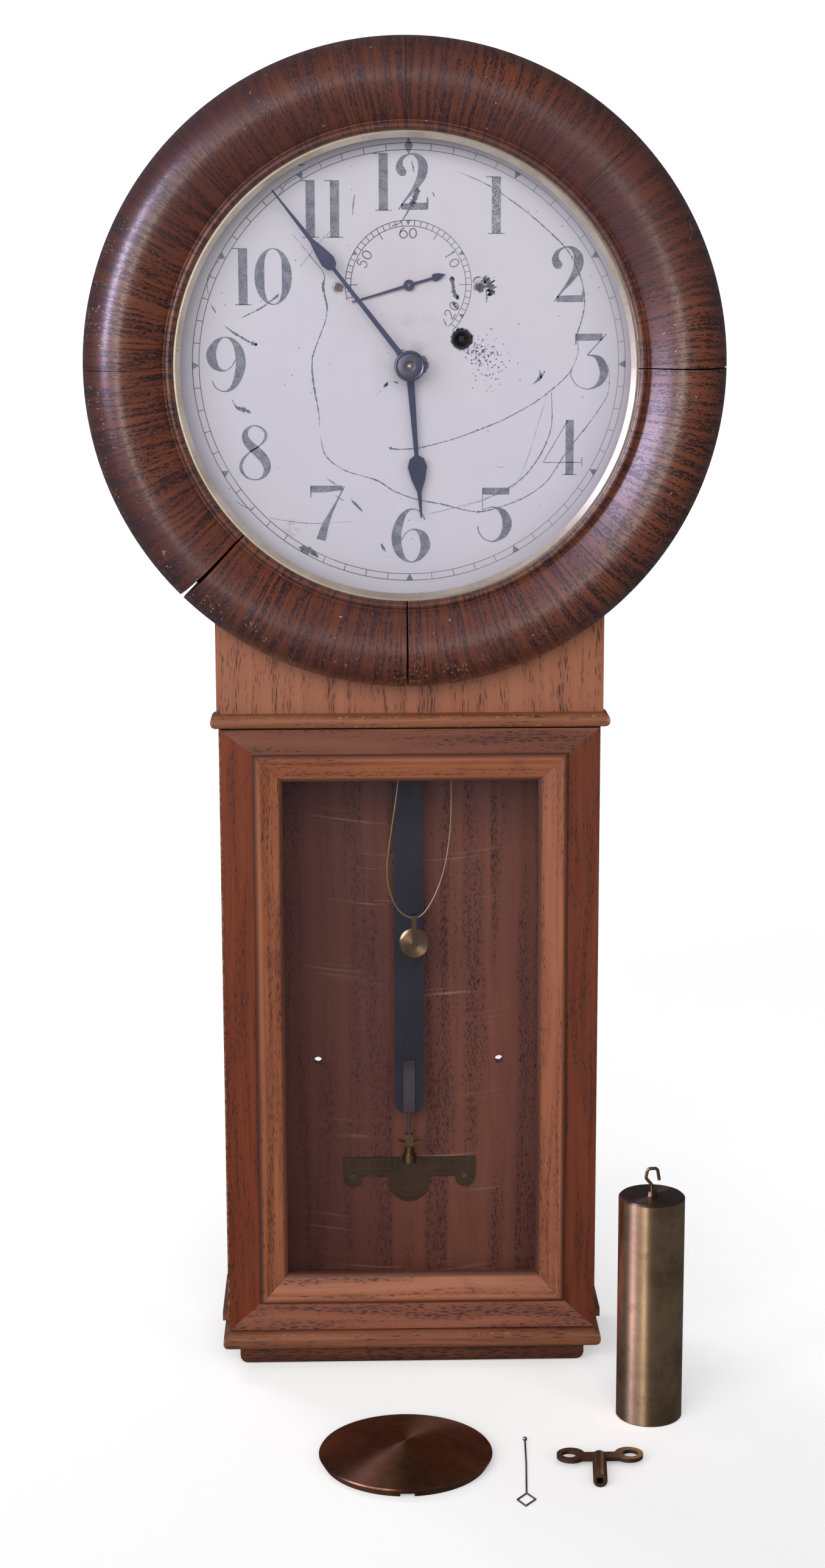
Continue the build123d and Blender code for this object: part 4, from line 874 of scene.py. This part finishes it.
SEVEN = [[(-11.4, 15.9, 2.3), (-2, 15.9, 2.2), (9.6, 16.6, 1.5)], bar(-11.6, 18, -11.5, 10.0, 0.45),
         [(10.8, 17.6, 0.4), (6.2, 8.4, 0.6), (1.0, -1.6, 1.4), (-2.6, -10.0, 2.5),
          (-5.0, -18.2, 3.2)]]
EIGHT = [[(3.6, 17.0, 0.6), (-1.2, 17.8, 0.5), (-5.4, 15.0, 1.3), (-6.6, 10.4, 2.2),
          (-3.6, 5.2, 2.9), (1.6, 0.4, 3.1), (6.2, -5.0, 3.1), (7.8, -10.6, 2.4),
          (5.2, -16.0, 1.1), (0.0, -18.0, 0.45), (-6.0, -16.2, 0.7), (-9.6, -10.6, 1.1),
          (-8.2, -4.6, 0.9), (-3.2, 0.6, 0.5), (2.2, 4.0, 0.45), (6.6, 8.6, 0.9),
          (7.0, 13.4, 0.9), (3.6, 17.0, 0.6)]]
ZERO = [oval(12.3, 18.4, 3.3, 0.35)]
NINE = [at(stroke, 0, 0, 180) for stroke in SIX]
NUMERALS = ((ONE, 57.4, 103.4), (TWO, 104.5, 58.6), (THREE, 119.8, 1.8), (FOUR, 102.1, -54.8),
            (FIVE, 57.4, -99.6), (SIX, 0.9, -113.3), (SEVEN, -54.4, -97.7),
            (EIGHT, -102.7, -57.4), (NINE, -121.2, 0.8), (ONE, -109.2, 57.8),
            (ZERO, -89.3, 57.8), (ONE, -64.5, 101.2), (ONE, -48.6, 101.2),
            (ONE, -16.6, 118.5), (TWO, 2.0, 118.5))
strokes = [strip(at(stroke, x, z)) for numeral, x, z in NUMERALS for stroke in numeral]

# outer track: two circles, a tick each minute and a wedge at each hour
TRACK_OUT, TRACK_IN = 143.4, 139.0


def hoop(radius, half, centre=(0.0, 0.0), start=0.0, stop=360.0):
    """Points of a circle, clockwise from the top, for one strip."""
    a = np.radians(np.linspace(start, stop, int(abs(stop - start) / 3) + 2))
    return np.stack([centre[0] + radius * np.sin(a), centre[1] + radius * np.cos(a),
                     np.full(len(a), half)], -1)


def spoke(angle, r0, r1, half0, half1, centre=(0.0, 0.0)):
    """Radial mark between two radii, from one half width to another."""
    a = math.radians(angle)
    return [(centre[0] + r * math.sin(a), centre[1] + r * math.cos(a), w)
            for r, w in ((r0, half0), (0.5 * (r0 + r1), 0.5 * (half0 + half1)), (r1, half1))]


fine = [strip(hoop(radius, 0.25), 1) for radius in (TRACK_OUT, TRACK_IN)]
for minute in range(60):
    if minute % 5:
        fine.append(strip(spoke(6 * minute, TRACK_IN, TRACK_OUT, 0.25, 0.25), 1))
    elif minute == 0:
        strokes.append(strip([(0, 136.2, 0.1), (0, 141.4, 2.9), (0, 146.6, 0.1)], 1, smooth=False))
    else:
        strokes.append(strip(spoke(6 * minute, 138.9, TRACK_OUT, 0.06, 2.5), 1, smooth=False))

# seconds circle above the centre, most of its lower half worn away
SECONDS = (-0.4, 52.3)
for radius in (41.6, 37.9):
    fine.append(strip(hoop(radius, 0.26, SECONDS, -104, 136), 1))
for second in range(-17, 23):
    if second % 10 == 0:
        strokes.append(strip(spoke(6 * second, 38.3, 41.6, 0.05, 1.7, SECONDS), 1, smooth=False))
    else:
        inner = 33.4 if second % 5 == 0 else 37.9
        fine.append(strip(spoke(6 * second, inner, 41.6, 0.26, 0.26, SECONDS), 1))
small_six = [hoop(2.1, 0.32, (0, -0.6)).tolist(),
             [(-2.0, -0.2, 0.32), (-1.3, 2.0, 0.32), (0.7, 3.0, 0.32)]]
small_nought = [oval(2.3, 3.0, 0.36, 0.32)]
small_one = [[(-1.0, 2.0, 0.3), (0.0, 2.9, 0.34), (0.0, 2.8, 0.34), (0.0, -3.0, 0.34)]]
small_two = [[(-1.7, 1.4, 0.32), (-0.9, 2.7, 0.32), (0.8, 2.7, 0.32), (1.5, 1.2, 0.32),
              (0.4, -0.7, 0.32), (-1.8, -2.8, 0.32), (1.8, -2.8, 0.32)]]
small_five = [[(1.5, 2.8, 0.32), (-1.0, 2.8, 0.32), (-1.4, 0.4, 0.32), (0.3, 0.9, 0.32),
               (1.7, -0.6, 0.32), (1.0, -2.5, 0.32), (-0.6, -2.9, 0.32), (-1.7, -2.2, 0.32)]]
for second, left, turn in ((0, small_six, 0), (10, small_one, 60), (20, small_two, -60),
                           (50, small_five, -60)):
    a = math.radians(6 * second)
    x, z = SECONDS[0] + 33.2 * math.sin(a), SECONDS[1] + 33.2 * math.cos(a)
    for digit, offset in ((left, -2.7), (small_nought, 2.7)):
        fine += [strip(at(at(stroke, offset, 0), x, z, turn, 1.15), 3) for stroke in digit]

dial_ink, r, shader = new_finish("slate_blue_ink", Roughness=0.55)
place = r.place()
mottle = r.noise(place, 130.0, 4.0, 0.65)
colour = r.mix(r.ramp(mottle, 0.36, 0.66), (0.103, 0.112, 0.148), (0.188, 0.198, 0.24))
grit = r.ramp(r.noise(place, 1300.0, 2.0), 0.46, 0.64)
fade = near(r, place, (0.057, DIAL_Z + 0.103), 0.012, 0.030)
worn = r.times(grit, r.math("MULTIPLY_ADD", fade, 0.6, 0.24))
colour = r.mix(worn, colour, (0.51, 0.49, 0.54))
r.dress(shader, colour, r.math("MULTIPLY_ADD", mottle, 0.2, 0.42))
add_solids("dial_numerals", "case", dial_ink, strokes)

line_ink, r, shader = new_finish("thin_line_ink", Roughness=0.55)
place = r.place()
x = r.parts(place)[0]
fade = r.ramp(r.math("ADD", r.times(r.noise(place, 11.0, 3.0), 0.28), x), 0.09, 0.25)
patchy = r.times(r.ramp(r.noise(place, 30.0, 3.0), 0.5, 0.7), 0.5)
fade = r.math("MAXIMUM", fade, patchy)
r.dress(shader, r.mix(r.math("MULTIPLY_ADD", fade, 0.42, 0.03), (0.065, 0.068, 0.088),
                      (0.50, 0.48, 0.53)), r.math("MULTIPLY_ADD", fade, 0.1, 0.5))
add_solids("dial_track_lines", "case", line_ink, fine)

# ---- dial damage
# Long scratches and flakes go through the white paint to the slate undercoat. Their width
# wanders along the line as the paint chipped.
SCRATCHES = (
    [(-76, 85, 0.1), (-66, 72.5, 0.2), (-56, 59.5, 0.3), (-56.6, 51, 0.75), (-54.2, 39, 0.4),
     (-55, 30, 0.3), (-59.5, 17.5, 0.3), (-64, 4.5, 0.45), (-63.6, -11, 0.45),
     (-60.5, -29, 0.35), (-59.6, -41, 0.1)],
    [(-59.6, -46, 0.1), (-55.5, -60, 0.35), (-44, -69, 0.35), (-32, -73, 0.2), (-21, -76.6, 0.4),
     (-10, -83.5, 0.3), (4, -88.8, 0.3), (22.5, -92.6, 0.35), (39.7, -96.9, 0.3),
     (48.4, -97.4, 0.35), (61.4, -94.2, 0.3), (76.5, -88.3, 0.35), (87.3, -81.4, 0.3),
     (93.8, -75, 0.25), (101.3, -63.2, 0.3), (109, -52.5, 0.3), (119.7, -39, 0.25),
     (131, -22, 0.2), (133, -10, 0.15), (131.8, 0, 0.1)],
    [(30.6, 125.5, 0.1), (52, 116.2, 0.25), (71, 103.7, 0.25), (88.7, 89.6, 0.3),
     (103.7, 75, 0.3), (111, 62.3, 0.35), (115.3, 49, 0.3), (116, 38.8, 0.3),
     (114, 28.4, 0.35), (111, 18, 0.25), (112, 8, 0.2), (106, -6, 0.25), (93, -18, 0.3),
     (80, -27, 0.3), (61.6, -36.8, 0.3), (46, -43, 0.35), (30.4, -48.7, 0.35),
     (14, -53, 0.3), (4.5, -55, 0.35), (-8, -55.6, 0.4), (-13.6, -54.6, 0.9)],
    [(94.4, -18, 0.15), (95, -36.8, 0.25), (92, -50, 0.4), (84, -65, 0.3), (72, -78, 0.3),
     (51, -89.2, 0.15), (38, -92.5, 0.1), (25, -96, 0.15), (13.8, -98.6, 0.1)],
    [(92, -19, 0.1), (73, -76, 0.1), (52, -87.8, 0.1), (36, -94, 0.08)],
    [(-71.4, 64, 0.12), (-59.6, 78.7, 0.15), (-51, 87.3, 0.12)],
    [(-111, 30.8, 0.15), (-97.6, 37.4, 0.45), (-92.5, 41, 0.25), (-87.5, 44.6, 0.7),
     (-85.8, 46.4, 0.5)],
    [(-122, 26, 0.15), (-116, 21.6, 0.6), (-111, 18.6, 0.7), (-106, 15.6, 0.6),
     (-101.8, 14, 1.1), (-100.6, 13.6, 0.4)],
    [(-122.3, 71, 0.1), (-129.6, 62.4, 0.2), (-132.7, 54.2, 0.2), (-131.8, 44.6, 0.12)],
    [(-130.5, 40, 0.1), (-128.8, 37, 0.5), (-127, 34, 0.15)],
    [(-84.8, 110.2, 0.15), (-80, 117.3, 0.2), (-67.8, 124, 0.08)],
    [(-35.4, 110, 0.2), (-36.4, 104, 0.35), (-36.6, 97.5, 0.15)],
    [(2, 132.6, 0.1), (2.8, 128, 0.4), (3.7, 124, 0.15)],
    [(-55.6, -74.2, 0.1), (-52, -77, 0.35), (-48, -79.5, 0.1)],
    [(-50, -86, 0.1), (-46, -88.5, 0.35), (-43.5, -90, 0.1)],
    [(-39.4, -88.7, 0.15), (-35.5, -92.6, 0.9), (-31.6, -97, 0.3)],
    [(-19.3, -118.5, 0.2), (-18, -121, 0.9), (-16.4, -123.6, 0.3)],
    [(-117.3, -88.7, 0.1), (-111, -93, 0.25), (-104, -95.6, 0.1)],
    [(-93.4, -101, 0.12), (-78, -103.6, 0.18), (-64, -104.8, 0.18), (-38.6, -103.7, 0.08)],
    [(-117.6, -22, 0.12), (-115, -27, 0.5), (-112, -28.4, 1.2), (-108.4, -29.6, 1.1),
     (-105, -31, 0.3)],
    [(82, -13.4, 0.12), (86.6, -9, 0.9), (90.2, -4.4, 0.3)],
    [(86.4, -3.6, 0.2), (87.4, -8, 0.8), (88.0, -9.2, 0.2)],
    [(5.8, 115.3, 0.4), (5.6, 112.4, 1.4), (4.4, 109, 1.5), (2.8, 105.6, 1.3), (1.2, 102.6, 1.2),
     (-0.9, 99, 0.35), (-5, 92.9, 0.35), (-8, 91.2, 0.3), (-11, 90.2, 0.5)],
    [(28.2, 57.6, 0.9), (28.6, 54.2, 1.4), (29.4, 50.4, 0.9), (29.6, 47, 1.3), (31.4, 44.4, 1.5),
     (33.0, 43.2, 0.4)],
    [(29.0, 41.2, 0.5), (30.4, 38.4, 0.9), (32.6, 36.2, 0.4)],
    [(47.8, 54.0, 0.8), (50.4, 55.4, 2.0), (53.0, 52.4, 2.6), (54.6, 48.4, 2.6), (53.4, 45.8, 1.4),
     (52.0, 45.2, 0.3)],
    [(51.0, 48.6, 0.3), (51.4, 44.4, 0.5), (51.2, 40.6, 0.2)],
    [(42.2, 53.6, 0.3), (43.4, 56.2, 0.6), (46.0, 57.2, 0.4), (47.6, 56.6, 0.2)],
    [(22.6, 30.2, 0.2), (23.8, 27.4, 0.35), (24.8, 25.0, 0.15)],
    [(-74, -120.8, 0.4), (-69.5, -122.2, 2.0), (-64.6, -124.6, 1.8), (-61.4, -127.6, 0.3)],
    [(-8.5, 6.6, 0.4), (-6.0, 8.8, 0.9), (-3.6, 9.9, 0.4)],
    [(9.2, 6.0, 0.5), (10.6, 3.4, 1.1), (11.2, 0.4, 1.4), (10.8, -3.0, 1.0), (9.4, -5.6, 0.5)],
    [(-72.5, 134.5, 0.3), (-70.5, 133.2, 0.7), (-68.5, 134.2, 0.3)],
    [(-73.5, 130.4, 0.2), (-70.5, 129.2, 0.5), (-67.5, 129.8, 0.2)],
    [(-16.8, -14.6, 0.4), (-15.2, -12.8, 0.9), (-14.2, -11.2, 0.3)],
    [(-10.4, -10.9, 0.2), (-8.6, -11.6, 0.5), (-7.4, -11.7, 0.3)],
    [(-22.6, -20.4, 0.08), (-20.0, -18.0, 0.14), (-18.2, -16.6, 0.08)],
    [(58, -66.4, 0.1), (60.5, -68, 0.14), (63.5, -67.4, 0.1)],
    [(15.6, 112, 0.1), (16.2, 110.5, 0.4), (16.8, 109, 0.1)])
SCRATCH_FRONT = INK_FRONT - 0.00003
nicked = np.random.default_rng(12)
scratches = []
for line in SCRATCHES:
    fine_line = smooth_line(line, 14)
    chip = 1 + 0.38 * nicked.standard_normal(len(fine_line))
    fine_line[:, 2] *= np.clip(chip, 0.35, 1.8)
    fine_line[:, :2] += 0.07 * nicked.standard_normal((len(fine_line), 2))
    scratches.append(strip(fine_line, smooth=False, front=SCRATCH_FRONT))

# specks where rust was flung down and to the right of the winding hole
for _ in range(190):
    reach, way = nicked.gamma(1.9, 8.5), nicked.normal(-37.0, 19.0)
    x = HOLE[0] + (7.5 + reach) * math.cos(math.radians(way))
    z = HOLE[1] + (7.5 + reach) * math.sin(math.radians(way))
    size, lean = nicked.uniform(0.2, 0.6), nicked.uniform(0, TAU)
    dx, dz = 1.3 * size * math.cos(lean), 1.3 * size * math.sin(lean)
    if reach < 34:
        scratches.append(strip([(x - dx, z - dz, 0.3 * size), (x, z, size),
                                (x + dx, z + dz, 0.4 * size)],
                               smooth=False, front=SCRATCH_FRONT))
# ragged flakes round the rim of the winding hole and beside the hub
for _ in range(46):
    way = nicked.uniform(0, 360)
    far, thick = 7.2 + nicked.gamma(1.2, 0.45), nicked.uniform(0.3, 0.9)
    scratches.append(strip(spoke(way, 6.5, far, thick, 0.1, HOLE),
                           smooth=False, front=SCRATCH_FRONT))
undercoat, r, shader = new_finish("slate_undercoat", Roughness=0.6)
tone = r.noise(r.place(), 160.0, 3.0)
r.dress(shader, r.mix(tone, (0.075, 0.078, 0.105), (0.18, 0.185, 0.235)),
        r.math("MULTIPLY_ADD", tone, 0.2, 0.5))
add_solids("dial_scratches", "case", undercoat, scratches)

# ---- hub collet
# Turned collet pinned over the minute hand: a rolled rim, a shallow dish, and a rusty
# countersink round the end of the arbor.
collet = np.array([(0.0, -12.3), (0.8, -12.2), (1.2, -11.8), (1.25, -11.0), (2.3, -10.95),
                   (3.1, -11.5), (4.0, -11.55), (7.2, -11.35), (8.0, -11.1), (8.5, -11.25),
                   (9.0, -11.7), (9.7, -11.5), (10.1, -10.9), (10.1, -9.6), (0.0, -9.6)]) * MM
turns = np.linspace(0, TAU, 64, endpoint=False)
rings = np.stack([np.outer(collet[1:-1, 0], np.sin(turns)),
                  np.repeat(FACE_Y + collet[1:-1, 1:], len(turns), 1),
                  DIAL_Z + np.outer(collet[1:-1, 0], np.cos(turns))], -1)
ends = np.array([[0, FACE_Y + collet[0, 1], DIAL_Z], [0, FACE_Y + collet[-1, 1], DIAL_Z]])
points = np.vstack([rings.reshape(-1, 3), ends])
count, last = len(turns), rings.shape[0] - 1
walls = grid(rings.shape[0], count, wrap=True)
step = np.arange(count)
after = (step + 1) % count
front_cap = np.stack([step, after, np.full(count, len(points) - 2)], -1)
back_cap = np.stack([last * count + after, last * count + step,
                     np.full(count, len(points) - 1)], -1)
collet_steel, r, shader = new_finish("collet_steel", Metallic=0.6, Roughness=0.4)
place = r.place()
tone = r.noise(place, 260.0, 3.0)
colour = r.mix(tone, (0.13, 0.135, 0.19), (0.075, 0.078, 0.115))
colour = r.mix(near(r, place, (0.0, DIAL_Z), 0.0026, 0.0033), colour, (0.17, 0.11, 0.105))
colour = r.mix(near(r, place, (0.0, DIAL_Z), 0.0011, 0.0014), colour, (0.55, 0.50, 0.48))
r.dress(shader, colour, r.math("MULTIPLY_ADD", tone, 0.25, 0.28))
faces = [walls, front_cap, back_cap]
faces = outward(points, faces, faces)[0]
add_piece("minute_hand_collet", "minute_train", collet_steel, points, *faces)

# ---- degree scale marks
# Lines cut into the brass plate: a frame, a stroke for each degree, and ringed ends.
SCALE_FRONT, SCALE_BACK = FACE_Y + 0.09072, FACE_Y + 0.0909
cuts = []
for z in (-581.6, -588.6, -592.4):
    cuts.append([(-46.5, z, 0.25), (0, z, 0.25), (46.5, z, 0.25)])
for x in np.arange(-45, 46, 5.0):
    cuts.append([(x, -581.8, 0.18), (x, -585.0, 0.18), (x, -588.4, 0.18)])
for x, z, radius in ((-41, -594, 4.6), (41, -594, 4.6), (0, -598, 8.0), (0, -598, 11.5)):
    cuts.append(hoop(radius, 0.22, (x, z)))
marks = [strip(cut, smooth=False, front=SCALE_FRONT, back=SCALE_BACK) for cut in cuts]
scale_cut, r, shader = new_finish("scale_cuts", Roughness=0.6)
tone = r.noise(r.place(), 300.0, 2.0)
r.dress(shader, r.mix(tone, (0.035, 0.026, 0.02), (0.075, 0.055, 0.035)))
add_solids("degree_scale_marks", "case", scale_cut, marks)

# ---- glass
def glass_finish(name, tint, haze):
    """Thin old window glass: clear, with a mirror that grows at low angles and faint dust."""
    material = bpy.data.materials.new(name)
    material.use_nodes = True
    tree = material.node_tree
    tree.nodes.clear()
    r = Recipe(tree)
    leave = tree.nodes.new("ShaderNodeOutputMaterial")
    clear = tree.nodes.new("ShaderNodeBsdfTransparent")
    clear.inputs["Color"].default_value = (*tint, 1)
    mirror = tree.nodes.new("ShaderNodeBsdfAnisotropic")
    mirror.inputs["Color"].default_value = (0.85, 0.84, 0.88, 1)
    mirror.inputs["Roughness"].default_value = 0.06
    edge = tree.nodes.new("ShaderNodeFresnel")
    edge.inputs["IOR"].default_value = 1.45
    smears = r.noise(r.place(), 7.0, 4.0)
    dust = r.times(r.ramp(smears, 0.4, 0.75), haze)
    # only the face towards the eye mirrors; the far face lets everything through
    facing = tree.nodes.new("ShaderNodeNewGeometry")
    front = r.math("SUBTRACT", 1.0, facing.outputs["Backfacing"])
    share = r.times(r.math("ADD", edge.outputs[0], dust, clamp=True), front)
    blend = tree.nodes.new("ShaderNodeMixShader")
    link(tree, share, blend.inputs[0])
    link(tree, clear.outputs[0], blend.inputs[1])
    link(tree, mirror.outputs[0], blend.inputs[2])
    link(tree, blend.outputs[0], leave.inputs["Surface"])
    return material


paint("dial_glass", glass_finish("dial_glass_clear", (0.985, 0.985, 0.99), 0.006))
paint("door_glass", glass_finish("door_glass_clear", (0.96, 0.955, 0.97), 0.012))
